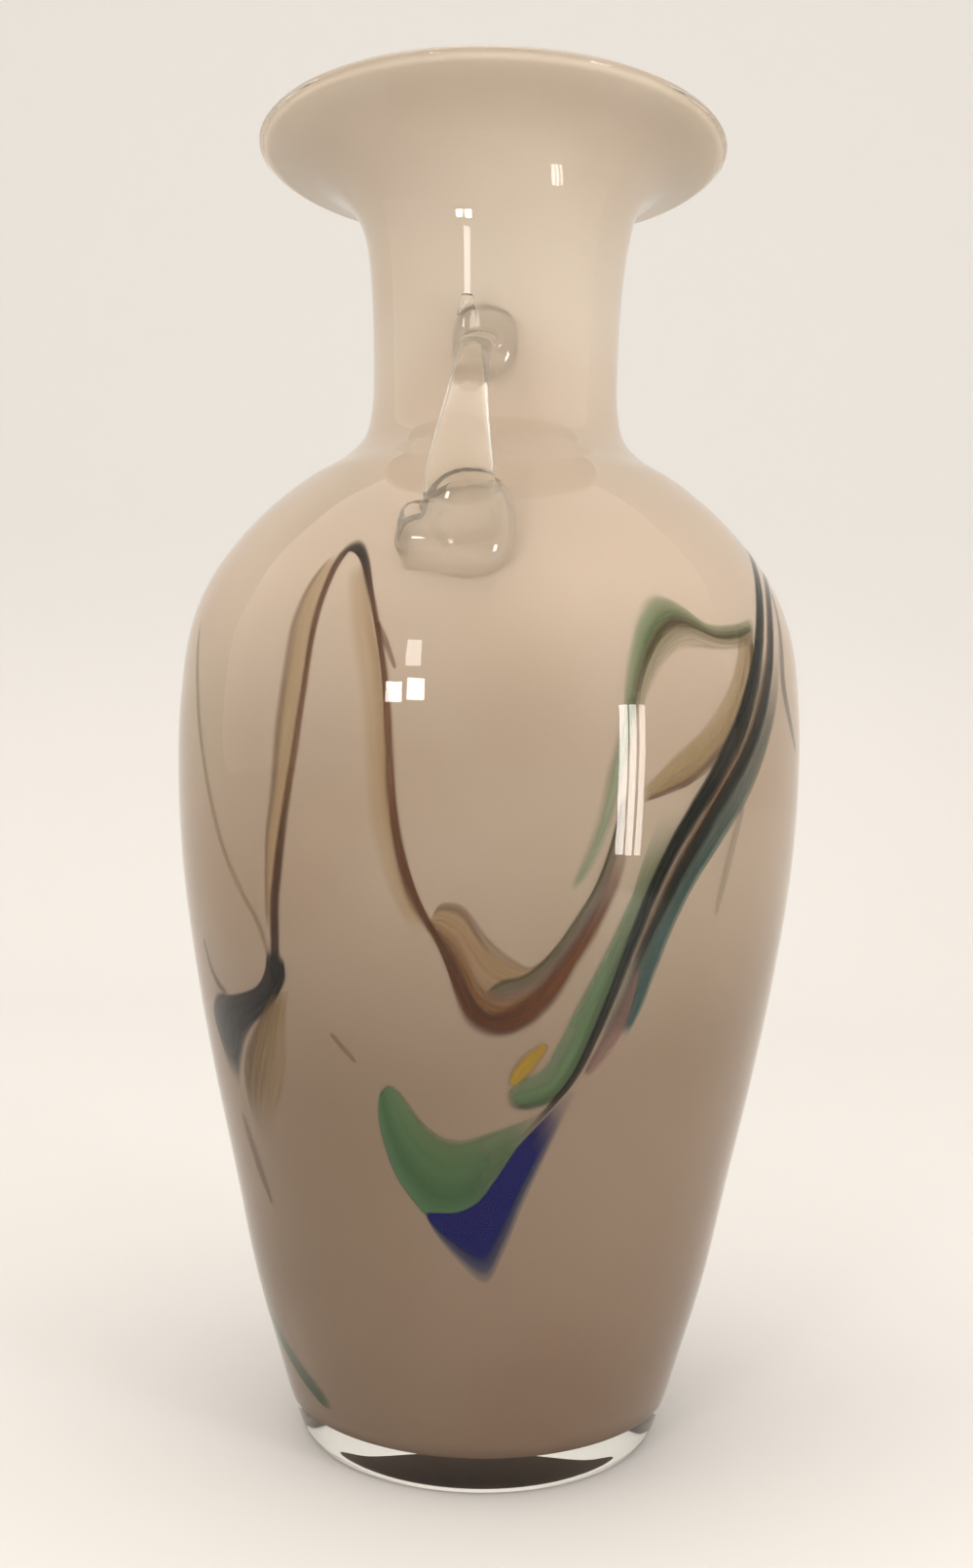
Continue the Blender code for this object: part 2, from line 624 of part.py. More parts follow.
def make_handle(name, turn):
    """One bit of clear glass: a gob on the shoulder, a strap drawn up from it and a press on the neck."""
    gob = pad(HANDLE_GOB_LEVEL, HANDLE_GOB_ACROSS, HANDLE_GOB_ALONG, HANDLE_GOB_THICK)
    mesh = mesh_from(name, *gob)
    face_out(mesh)
    handle = add_object(name, mesh, glass(name + "_glass", CLEAR, POLISHED, CLEAR_ALPHA))
    tools = [
        as_tool(name + "_strap_tool", *strap(STRAP)),
        as_tool(name + "_press_tool", *pad(HANDLE_PRESS_LEVEL, HANDLE_PRESS_SIZE, HANDLE_PRESS_SIZE,
                                           HANDLE_PRESS_THICK, rings=4, steps=14)),
        as_tool(name + "_tip_tool", *strap(TIP, sides=6)),
    ]
    for piece in (handle, *tools):
        piece.rotation_euler = (0, 0, math.radians(turn))
    for tool in tools:
        join = handle.modifiers.new("join_" + tool.name, "BOOLEAN")
        join.operation = "UNION"
        join.solver = "EXACT"
        join.object = tool
    return handle


for old in list(bpy.data.objects):
    bpy.data.objects.remove(old, do_unlink=True)

vase = bpy.data.objects.new("vase", None)
bpy.context.collection.objects.link(vase)

make_core()
make_casing()
for trail in TRAILS:
    make_trail(*trail)
make_handle("front_handle", 0)
make_handle("back_handle", 180)
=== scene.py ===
import bisect
import math

import bmesh
import bpy
from mathutils import Matrix, Vector


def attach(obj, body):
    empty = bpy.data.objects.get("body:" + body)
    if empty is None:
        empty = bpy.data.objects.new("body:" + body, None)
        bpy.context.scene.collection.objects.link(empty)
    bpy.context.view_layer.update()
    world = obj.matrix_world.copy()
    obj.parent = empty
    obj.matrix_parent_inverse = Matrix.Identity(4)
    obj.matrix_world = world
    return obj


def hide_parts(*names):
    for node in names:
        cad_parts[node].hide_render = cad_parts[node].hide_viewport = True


mm = 0.001

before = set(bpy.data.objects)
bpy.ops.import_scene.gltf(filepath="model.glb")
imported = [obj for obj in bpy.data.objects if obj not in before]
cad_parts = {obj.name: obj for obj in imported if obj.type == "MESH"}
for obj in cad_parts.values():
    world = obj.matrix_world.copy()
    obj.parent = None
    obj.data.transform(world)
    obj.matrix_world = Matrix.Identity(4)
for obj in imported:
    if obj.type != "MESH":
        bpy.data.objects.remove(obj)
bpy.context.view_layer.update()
print("frame loaded:", len(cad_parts), "nodes")

# The vase's outer line from the foot to the lip: radius and height in mm
outline = [
    (41.0, 0.0), (42.2, 1.5), (43.6, 5.0), (45.4, 10.0), (48.4, 20.0), (53.6, 38.0), (58.8, 62.0),
    (63.9, 85.0), (68.3, 108.0), (71.8, 132.0), (73.2, 153.0), (73.0, 170.0), (70.9, 187.0),
    (66.2, 199.0), (57.0, 211.5), (45.8, 221.7), (36.2, 228.0), (31.2, 233.5), (29.4, 241.0),
    (29.2, 252.0), (30.0, 270.0), (31.4, 281.0), (33.6, 288.0), (37.2, 293.0), (42.5, 296.6),
    (49.5, 299.0), (53.8, 300.2), (55.4, 301.9), (54.4, 303.3), (52.0, 303.5),
]

# All lengths in mm
wall = {
    "segments": 144,  # facets round the vase
    "lineSteps": 7,  # points between two points of the outline
    "opalDepth": 2.6,  # clear glass over the opal on the body
    "opalDepthLip": 1.5,
    "opalThick": 2.6,
    "opalThickLip": 1.7,
    "thinFrom": 262.0,  # heights between which the wall thins to the lip
    "thinTo": 292.0,
    "sunk": 0.2,  # how far the casing's inner face lies behind the opal's outer face
    "footThick": 8.0,
    "footCorner": 6.0,
    "lipBead": 6.6,  # how far along the outline the opal stops short of the lip's end
    "opalEdge": (0.9, 0.4),  # how far the opal's rounded edge stands out and up
    "neckAt": 252.0,  # the height up to which the streaks may reach
    "lipLevel": 290.0,
    "insideFloor": 8.0,  # how far above the foot the hollow's floor ends
    "beadBulge": 0.35,  # how far the lip's bead stands into the mouth
    "sharpAngle": 50.0,  # degrees
    "lean": 1.5,  # the lip's lean towards -X
    "bend": 1.34,  # how strongly the casing bends light, kept low so that dark streaks stay dark under it
    "tint": "#F8F8F4",
    "leanFrom": 280.0,
    "leanTo": 298.0,
}


def smoothPath(points, steps):  # centripetal Catmull-Rom through points of any size
    first = [2 * a - b for a, b in zip(points[0], points[1])]
    last = [2 * a - b for a, b in zip(points[-1], points[-2])]
    padded = [first, *points, last]
    curve = []
    for p0, p1, p2, p3 in zip(padded, padded[1:], padded[2:], padded[3:]):
        t0 = 0.0
        t1 = t0 + math.dist(p0, p1) ** 0.5
        t2 = t1 + math.dist(p1, p2) ** 0.5
        t3 = t2 + math.dist(p2, p3) ** 0.5
        for step in range(steps):
            t = t1 + (t2 - t1) * step / steps
            point = []
            for a, b, c, d in zip(p0, p1, p2, p3):
                ab = a + (b - a) * (t - t0) / (t1 - t0)
                bc = b + (c - b) * (t - t1) / (t2 - t1)
                cd = c + (d - c) * (t - t2) / (t3 - t2)
                abc = ab + (bc - ab) * (t - t0) / (t2 - t0)
                bcd = bc + (cd - bc) * (t - t1) / (t3 - t1)
                point.append(abc + (bcd - abc) * (t - t1) / (t2 - t1))
            curve.append(tuple(point))
    curve.append(tuple(points[-1]))
    return curve


def easeBetween(low, high, at):
    t = min(1.0, max(0.0, (at - low) / (high - low)))
    return t * t * (3 - 2 * t)


line = smoothPath(outline, wall["lineSteps"])
run = [0.0]
for a, b in zip(line, line[1:]):
    run.append(run[-1] + math.dist(a, b))


def lineAt(distance):  # point and outward normal at a distance along the outline
    i = min(len(line) - 2, max(0, bisect.bisect_right(run, distance) - 1))
    share = (distance - run[i]) / (run[i + 1] - run[i])
    a, b = line[i], line[i + 1]
    before, after = line[max(0, i - 1)], line[min(len(line) - 1, i + 2)]
    tangent = [(1 - share) * (b[k] - before[k]) + share * (after[k] - a[k]) for k in (0, 1)]
    size = math.hypot(*tangent)
    point = (a[0] + (b[0] - a[0]) * share, a[1] + (b[1] - a[1]) * share)
    return point, (tangent[1] / size, -tangent[0] / size)


def inside(distance, depth):
    (r, z), normal = lineAt(distance)
    return r - normal[0] * depth, z - normal[1] * depth


def thinning(distance, body, lip):
    height = lineAt(distance)[0][1]
    return body + (lip - body) * easeBetween(wall["thinFrom"], wall["thinTo"], height)


def opalOuter(distance):
    return inside(distance, thinning(distance, wall["opalDepth"], wall["opalDepthLip"]))


def opalInner(distance):
    body = wall["opalDepth"] + wall["opalThick"]
    lip = wall["opalDepthLip"] + wall["opalThickLip"]
    return inside(distance, thinning(distance, body, lip))


def casingInner(distance):
    return inside(distance, thinning(distance, wall["opalDepth"], wall["opalDepthLip"]) + wall["sunk"])


def distanceAt(height, depth):  # how far along the outline a layer of the body has a height
    low, high = 0.0, run[min(k for k, p in enumerate(line) if p[1] > wall["neckAt"])]
    for _ in range(40):
        middle = (low + high) / 2
        if inside(middle, depth)[1] < height:
            low = middle
        else:
            high = middle
    return (low + high) / 2


def leanAt(height):
    return -wall["lean"] * easeBetween(wall["leanFrom"], wall["leanTo"], height)


def atAngle(radius, height, degrees):  # angles run from the front, -Y, towards +X
    turn = math.radians(degrees)
    return Vector((radius * math.sin(turn) + leanAt(height), -radius * math.cos(turn), height)) * mm


# Nodes and materials


def linear(hexColour):
    channels = [int(hexColour[k : k + 2], 16) / 255 for k in (1, 3, 5)]
    return [c / 12.92 if c <= 0.04045 else ((c + 0.055) / 1.055) ** 2.4 for c in channels] + [1.0]


def newMaterial(name):
    material = bpy.data.materials.new(name)
    material.use_nodes = True
    material.node_tree.nodes.clear()
    return material


# Inputs go by socket name or by number and are a value or a link
def addNode(tree, kind, settings=None, **inputs):
    node = tree.nodes.new(kind)
    for key, value in (settings or {}).items():
        setattr(node, key, value)
    for key, value in inputs.items():
        byNumber = key[0] == "i" and key[1:].isdigit()
        socket = node.inputs[int(key[1:])] if byNumber else node.inputs[key.replace("_", " ")]
        if isinstance(value, bpy.types.NodeSocket):
            tree.links.new(value, socket)
        else:
            socket.default_value = value
    return node


def addMath(tree, operation, a, b=0.0, clamp=False):
    settings = {"operation": operation, "use_clamp": clamp}
    return addNode(tree, "ShaderNodeMath", settings, i0=a, i1=b).outputs[0]


def addMix(tree, factor, a, b, how="MIX"):
    settings = {"data_type": "RGBA", "blend_type": how}
    return addNode(tree, "ShaderNodeMix", settings, i0=factor, i6=a, i7=b).outputs[2]


def addRange(tree, value, low, high, toLow=0.0, toHigh=1.0):
    soft = {"interpolation_type": "SMOOTHSTEP"}
    ends = {"i1": low, "i2": high, "i3": toLow, "i4": toHigh}
    return addNode(tree, "ShaderNodeMapRange", soft, i0=value, **ends).outputs[0]


def addRamp(tree, value, stops):  # stops of place, colour and, for streaks, how well they cover
    ramp = addNode(tree, "ShaderNodeValToRGB", i0=value)
    ramp.color_ramp.interpolation = "EASE"
    points = ramp.color_ramp.elements
    points[0].position = stops[0][0]
    points[1].position = stops[-1][0]
    for at, hexColour, *cover in stops:
        ends = {stops[0][0]: points[0], stops[-1][0]: points[len(points) - 1]}
        point = ends.get(at) or points.new(at)
        point.color = linear(hexColour)[:3] + (cover or [1.0])
    return ramp.outputs[0], ramp.outputs[1]


def addOutput(tree, shader):
    addNode(tree, "ShaderNodeOutputMaterial", i0=shader)


# Fire polished soda-lime glass, smooth and without colour
def clearGlass(name, tint, bend):
    material = newMaterial(name)
    tree = material.node_tree
    shader = addNode(tree, "ShaderNodeBsdfPrincipled", Base_Color=linear(tint), Roughness=0.0, IOR=bend)
    shader.inputs["Transmission Weight"].default_value = 1.0
    addOutput(tree, shader.outputs[0])
    return material


# Opal glass: milky, pinkish and opaque, glossy only where it meets air. Its colour is painted darker and
# browner towards the foot and lighter towards the neck: painted shade for light that falls off down the vase
opalLook = {
    "paintedShadeTones": [  # share of the height and colour; dark low and pale high as painted shade
        (0.0, "#907B6A"), (0.28, "#9E8A79"), (0.5, "#BFAE9D"), (0.66, "#DFCFC0"), (0.85, "#ECE1D5"),
        (1.0, "#DFD1C3"),
    ],
    "warm": "#D8B49C",
    "cool": "#C9C6AE",
    "warmShare": 0.2,
    "coolShare": 0.22,
    "warmFrom": (0.5, 0.7),  # where the clouds' noise turns warm, and cool
    "coolFrom": (0.48, 0.3),
    "cloudSize": 70.0,  # mm
    "cloudDetail": 2.0,
    "cloudRoughness": 0.4,
    "gloss": 0.08,
    "matt": 0.5,
}


def opalGlass(name, glossy):
    material = newMaterial(name)
    tree = material.node_tree
    place = addNode(tree, "ShaderNodeTexCoord").outputs["Object"]
    height = addNode(tree, "ShaderNodeSeparateXYZ", i0=place).outputs[2]
    share = addMath(tree, "DIVIDE", height, outline[-1][1] * mm)
    # the height ramp is painted shade: darker towards the foot, lighter towards the neck
    base = addRamp(tree, share, opalLook["paintedShadeTones"])[0]
    size = 1 / (opalLook["cloudSize"] * mm)
    texture = {"Detail": opalLook["cloudDetail"], "Roughness": opalLook["cloudRoughness"]}
    cloud = addNode(tree, "ShaderNodeTexNoise", Vector=place, Scale=size, **texture).outputs[0]
    warm = addRange(tree, cloud, *opalLook["warmFrom"], 0.0, opalLook["warmShare"])
    cool = addRange(tree, cloud, *opalLook["coolFrom"], 0.0, opalLook["coolShare"])
    colour = addMix(tree, warm, base, linear(opalLook["warm"]), "MULTIPLY")
    colour = addMix(tree, cool, colour, linear(opalLook["cool"]), "MULTIPLY")
    rough = opalLook["gloss"] if glossy else opalLook["matt"]
    shader = addNode(tree, "ShaderNodeBsdfPrincipled", Base_Color=colour, Roughness=rough, IOR=1.5)
    shader.inputs["Specular IOR Level"].default_value = 0.5 if glossy else 0.0
    addOutput(tree, shader.outputs[0])
    return material


# What the streaks share: the glass rods were drawn out hot, so they feather along their length
trailLook = {
    "depth": 2.5,  # the deepest streak, mm
    "stack": 0.02,  # step between two streaks that may cross, mm
    "planeRadius": 70.0,  # mm of arc in the flat plan of the streaks
    "grainAcross": 1.8,  # mm
    "grainAlong": 28.0,  # mm
    "driftLength": 11.0,  # mm over which an edge wanders
    "along": [(0.0, "#FFFFFF", 0.0), (0.06, "#FFFFFF", 1.0), (0.92, "#FFFFFF", 1.0), (1.0, "#FFFFFF", 0.0)],
    "fray": 0.2,  # how far the grain pushes the colours sideways, as a share of the width
    "wander": 0.1,
    "streak": 0.2,  # how much the grain thins the cover
    "thinFrom": (0.35, 0.7),
    "grainDetail": 5.0,
    "grainRoughness": 0.62,
    "driftDetail": 2.0,
    "border": 0.05,
    "matt": 0.5,
    "seedStep": 3.7,  # from one streak's noise to the next
    "driftSeed": 9.0,
    "rowLength": 1.2,  # mm, the size of the mesh's faces
    "rowWidth": 0.9,
}


# A drawn streak of coloured glass between the clear and the opal
def trailGlass(name, look, width, length):
    material = newMaterial(name)
    tree = material.node_tree
    flow = addNode(tree, "ShaderNodeUVMap", {"uv_map": "flow"}).outputs[0]
    parts = addNode(tree, "ShaderNodeSeparateXYZ", i0=flow)
    across, share = parts.outputs[0], parts.outputs[1]
    grainX = addMath(tree, "MULTIPLY", across, width / look["grainAcross"])
    grainY = addMath(tree, "MULTIPLY", share, length / look["grainAlong"])
    place = addNode(tree, "ShaderNodeCombineXYZ", i0=grainX, i1=grainY, i2=look["seed"]).outputs[0]
    texture = {"Detail": look["grainDetail"], "Roughness": look["grainRoughness"]}
    grain = addNode(tree, "ShaderNodeTexNoise", Vector=place, Scale=1.0, **texture).outputs[0]
    driftY = addMath(tree, "MULTIPLY", share, length / look["driftLength"])
    drift = addNode(tree, "ShaderNodeCombineXYZ", i0=look["seed"] + look["driftSeed"], i1=driftY).outputs[0]
    texture = {"Detail": look["driftDetail"]}
    wander = addNode(tree, "ShaderNodeTexNoise", Vector=drift, Scale=1.0, **texture).outputs[0]
    fray = addMath(tree, "MULTIPLY", addMath(tree, "SUBTRACT", grain, 0.5), look["fray"])
    bend = addMath(tree, "MULTIPLY", addMath(tree, "SUBTRACT", wander, 0.5), look["wander"])
    moved = addMath(tree, "ADD", across, addMath(tree, "ADD", fray, bend))
    colour, cover = addRamp(tree, moved, look["across"])
    tint, reach = addRamp(tree, share, look["along"])
    colour = addMix(tree, 1.0, colour, tint, "MULTIPLY")
    border = addMath(tree, "MULTIPLY", across, addMath(tree, "SUBTRACT", 1.0, across))
    border = addRange(tree, border, 0.0, look["border"])
    thin = addRange(tree, grain, *look["thinFrom"], 1.0, 1.0 - look["streak"])
    cover = addMath(tree, "MULTIPLY", cover, reach)
    cover = addMath(tree, "MULTIPLY", cover, addMath(tree, "MULTIPLY", thin, border))
    body = addNode(tree, "ShaderNodeBsdfPrincipled", Base_Color=colour, Roughness=look["matt"])
    body.inputs["Specular IOR Level"].default_value = 0.0
    clear = addNode(tree, "ShaderNodeBsdfTransparent")
    mixed = addNode(tree, "ShaderNodeMixShader", i0=cover, i1=clear.outputs[0], i2=body.outputs[0])
    addOutput(tree, mixed.outputs[0])
    return material


# Geometry trees


def newTree(name, sockets):
    tree = bpy.data.node_groups.new(name, "GeometryNodeTree")
    found = {}
    for label, kind in [("Geometry", "Geometry"), *sockets]:
        found[label] = tree.interface.new_socket(label, in_out="INPUT", socket_type="NodeSocket" + kind)
    tree.interface.new_socket("Geometry", in_out="OUTPUT", socket_type="NodeSocketGeometry")
    return tree, {label: socket.identifier for label, socket in found.items()}


def gridRowsAndColumns(tree, columns, rows):  # a grid, its column and row numbers
    grid = addNode(tree, "GeometryNodeMeshGrid", i2=columns, i3=rows).outputs[0]
    index = addNode(tree, "GeometryNodeInputIndex").outputs[0]
    column = addMath(tree, "FLOOR", addMath(tree, "DIVIDE", addMath(tree, "ADD", index, 0.25), rows))
    row = addMath(tree, "SUBTRACT", index, addMath(tree, "MULTIPLY", column, rows))
    return grid, column, row


def leaned(tree, place):  # the lip's lean, the same rule as leanAt
    height = addNode(tree, "ShaderNodeSeparateXYZ", i0=place).outputs[2]
    shift = addRange(tree, height, wall["leanFrom"] * mm, wall["leanTo"] * mm, 0.0, -wall["lean"] * mm)
    offset = addNode(tree, "ShaderNodeCombineXYZ", i0=shift).outputs[0]
    return addNode(tree, "ShaderNodeVectorMath", {"operation": "ADD"}, i0=place, i1=offset).outputs[0]


def endTree(tree, geometry, material):
    real = addNode(tree, "GeometryNodeRealizeInstances", i0=geometry).outputs[0]
    painted = addNode(tree, "GeometryNodeSetMaterial", i0=real, Material=material).outputs[0]
    addNode(tree, "NodeGroupOutput", i0=painted)


def turnedGlassTree():  # turns a profile, a line of points in the plane of -Y, about the axis
    tree, ids = newTree("turnedGlass", [("Segments", "Int"), ("Material", "Material")])
    source = addNode(tree, "NodeGroupInput")
    profile = source.outputs["Geometry"]
    segments = source.outputs["Segments"]
    count = addNode(tree, "GeometryNodeAttributeDomainSize", i0=profile).outputs[0]
    grid, column, row = gridRowsAndColumns(tree, addMath(tree, "ADD", segments, 1.0), count)
    position = addNode(tree, "GeometryNodeInputPosition").outputs[0]
    kind = {"data_type": "FLOAT_VECTOR"}
    sampled = addNode(tree, "GeometryNodeSampleIndex", kind, i0=profile, i1=position, i2=row).outputs[0]
    turn = addMath(tree, "MULTIPLY", addMath(tree, "DIVIDE", column, segments), 2 * math.pi)
    axis = {"rotation_type": "Z_AXIS"}
    around = addNode(tree, "ShaderNodeVectorRotate", axis, Vector=sampled, Angle=turn).outputs[0]
    place = leaned(tree, around)
    shaped = addNode(tree, "GeometryNodeSetPosition", Geometry=grid, Position=place).outputs[0]
    closed = addNode(tree, "GeometryNodeMergeByDistance", Geometry=shaped, Distance=1e-6).outputs[0]
    smooth = addNode(tree, "GeometryNodeSetShadeSmooth", Geometry=closed).outputs[0]
    endTree(tree, smooth, source.outputs["Material"])
    return tree, ids


def objectLine(tree, helper):
    shape = addNode(tree, "GeometryNodeObjectInfo", i0=helper).outputs["Geometry"]
    return addNode(tree, "GeometryNodeMeshToCurve", i0=shape).outputs[0]


# Lofts between two edges drawn on the flat plan, then wraps the strip round the outline
def wrappedTrailTree():
    sockets = [("Other Edge", "Object"), ("Outline", "Object"), ("Depth", "Float")]
    sockets += [("Along", "Int"), ("Across", "Int"), ("Material", "Material")]
    tree, ids = newTree("wrappedTrail", sockets)
    source = addNode(tree, "NodeGroupInput").outputs
    firstEdge = addNode(tree, "GeometryNodeMeshToCurve", i0=source["Geometry"]).outputs[0]
    shape = objectLine(tree, source["Outline"])
    columns = addMath(tree, "ADD", source["Along"], 1.0)
    rows = addMath(tree, "ADD", source["Across"], 1.0)
    grid, column, row = gridRowsAndColumns(tree, columns, rows)
    share = addMath(tree, "DIVIDE", column, source["Along"])
    across = addMath(tree, "DIVIDE", row, source["Across"])
    ends = []
    for edge in (firstEdge, objectLine(tree, source["Other Edge"])):
        kind = {"spline_type": "CATMULL_ROM"}
        soft = addNode(tree, "GeometryNodeCurveSplineType", kind, i0=edge).outputs[0]
        spot = addNode(tree, "GeometryNodeSampleCurve", {"mode": "FACTOR"}, Curves=soft, Factor=share)
        ends.append(spot.outputs["Position"])
    asVector = {"data_type": "VECTOR"}
    flat = addNode(tree, "ShaderNodeMix", asVector, i0=across, i4=ends[0], i5=ends[1]).outputs[1]
    plan = addNode(tree, "ShaderNodeSeparateXYZ", i0=flat).outputs
    spot = addNode(tree, "GeometryNodeSampleCurve", {"mode": "LENGTH"}, Curves=shape, Length=plan[1]).outputs
    cross = {"operation": "CROSS_PRODUCT"}
    out = addNode(tree, "ShaderNodeVectorMath", cross, i0=(1.0, 0.0, 0.0), i1=spot["Tangent"]).outputs[0]
    depth = addMath(tree, "MULTIPLY", source["Depth"], -1.0)
    sunk = addNode(tree, "ShaderNodeVectorMath", {"operation": "SCALE"}, i0=out, Scale=depth).outputs[0]
    add = {"operation": "ADD"}
    place = addNode(tree, "ShaderNodeVectorMath", add, i0=spot["Position"], i1=sunk).outputs[0]
    turn = addMath(tree, "DIVIDE", plan[0], trailLook["planeRadius"] * mm)
    axis = {"rotation_type": "Z_AXIS"}
    around = addNode(tree, "ShaderNodeVectorRotate", axis, Vector=place, Angle=turn).outputs[0]
    shaped = addNode(tree, "GeometryNodeSetPosition", Geometry=grid, Position=around).outputs[0]
    uv = addNode(tree, "ShaderNodeCombineXYZ", i0=across, i1=share).outputs[0]
    onPoints = {"data_type": "FLOAT_VECTOR", "domain": "POINT"}
    uv = addNode(tree, "GeometryNodeFieldOnDomain", onPoints, i0=uv).outputs[0]
    asUv = {"data_type": "FLOAT2", "domain": "CORNER"}
    marked = addNode(tree, "GeometryNodeStoreNamedAttribute", asUv, Geometry=shaped, Name="flow")
    tree.links.new(uv, [s for s in marked.inputs if s.name == "Value" and s.enabled][0])
    smooth = addNode(tree, "GeometryNodeSetShadeSmooth", Geometry=marked.outputs[0]).outputs[0]
    endTree(tree, smooth, source["Material"])
    return tree, ids


def lineObject(name, points):  # a helper line for the trees to read
    mesh = bpy.data.meshes.new(name)
    mesh.from_pydata(points, [(k, k + 1) for k in range(len(points) - 1)], [])
    helper = bpy.data.objects.new(name, mesh)
    bpy.context.collection.objects.link(helper)
    return helper


def plainPiece(name, helper, material):  # keeps what a helper's modifiers make, as a mesh of its own
    graph = bpy.context.evaluated_depsgraph_get()
    evaluated = helper.evaluated_get(graph)
    mesh = bpy.data.meshes.new_from_object(evaluated, preserve_all_data_layers=True, depsgraph=graph)
    bpy.data.objects.remove(helper)
    mesh.name = name
    mesh.materials.clear()
    mesh.materials.append(material)
    for face in mesh.polygons:
        face.material_index = 0
    piece = bpy.data.objects.new(name, mesh)
    bpy.context.collection.objects.link(piece)
    return piece


def growFrom(helper, treeAndIds, values, name):  # runs a tree once on a helper line
    tree, ids = treeAndIds
    modifier = helper.modifiers.new("shape", "NODES")
    modifier.node_group = tree
    for label, value in values.items():
        modifier[ids[label]] = value
    return plainPiece(name, helper, values["Material"])


def faceOut(mesh):
    shape = bmesh.new()
    shape.from_mesh(mesh)
    bmesh.ops.recalc_face_normals(shape, faces=shape.faces)
    shape.to_mesh(mesh)
    shape.free()


def keep(piece, slot, *nodes):  # rides on the vase and stands for its CAD nodes
    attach(piece, "root")
    if nodes:
        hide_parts(*nodes)
    return piece


# The turned glass


def cornerRound(r, z, radius, steps=8):
    turns = [math.pi / 2 * k / steps for k in range(steps)]
    return [(r - radius + radius * math.sin(t), z + radius - radius * math.cos(t)) for t in turns]


def cup(face, start, floor, radius):  # the rounded floor that a wall layer stands on
    r = face(start)[0]
    return [(0.0, floor), (r * 0.4, floor)] + cornerRound(r, floor, radius)


turnedGlass = turnedGlassTree()
lipEnd = run[-1] - wall["lipBead"]
wallStart = distanceAt(wall["footThick"] + wall["footCorner"] + 1.5, 0)
wallRings = [wallStart] + [d for d in run if wallStart + 1 < d < lipEnd - 0.3] + [lipEnd]


def turned(name, profile, material):
    helper = lineObject(name + "Line", [(0.0, -r * mm, z * mm) for r, z in profile])
    values = {"Segments": wall["segments"], "Material": material}
    piece = growFrom(helper, turnedGlass, values, name)
    faceOut(piece.data)
    return piece


def makeOpal():
    outer = [opalOuter(d) for d in wallRings]
    inner = [opalInner(d) for d in wallRings]
    out, up = wall["opalEdge"]
    edge = ((outer[-1][0] + inner[-1][0]) / 2 + out, (outer[-1][1] + inner[-1][1]) / 2 + up)
    floor = cup(opalOuter, wallStart, wall["footThick"], wall["footCorner"])
    hollow = cup(opalInner, wallStart, wall["footThick"] + wall["opalThick"], wall["footCorner"] - 1)
    profile = floor + outer + [edge] + inner[::-1] + hollow[::-1]
    piece = turned("opal_bubble", profile, opalGlass("opalUnderGlass", False))
    piece.data.materials.append(opalGlass("opalInside", True))
    floorTop = (wall["footThick"] + wall["insideFloor"]) * mm
    lipLevel = wall["lipLevel"] * mm
    for face in piece.data.polygons:  # the faces that look into the hollow are the glossy ones
        across = Vector((face.center.x, face.center.y, 0)).normalized()
        level = floorTop < face.center.z < lipLevel
        intoHollow = face.normal.dot(across) < 0 if level else face.normal.z > 0
        face.material_index = 1 if intoHollow else 0
    return keep(piece, "opal_glass", "opal_core")


def makeCasing():
    outer = [(0.0, 0.0), (20.0, 0.0)] + [lineAt(d)[0] for d in run]
    inner = [casingInner(d) for d in wallRings]
    bead = opalInner(lipEnd)
    top = outer[-1]
    bulge = (bead[0] - wall["beadBulge"], (top[1] + bead[1]) / 2)
    floor = cup(casingInner, wallStart, wall["footThick"] + wall["sunk"], wall["footCorner"])
    profile = outer + [bulge, bead] + inner[::-1] + floor[::-1]
    piece = turned("clear_gather", profile, clearGlass("clearCasing", wall["tint"], wall["bend"]))
    piece.data.set_sharp_from_angle(angle=math.radians(wall["sharpAngle"]))
    return keep(piece, "clear_glass", "clear_casing")


makeOpal()
makeCasing()
print("turned glass done")


def thread(hexColour, cover):  # a thread of one colour, soft on both sides
    return [(at, hexColour, reached) for at, reached in ((0, 0), (0.3, cover), (0.7, cover), (1, 0))]


def reach(*stops):  # how well a streak covers along its length, its colours unchanged
    return [(at, "#FFFFFF", cover) for at, cover in stops]


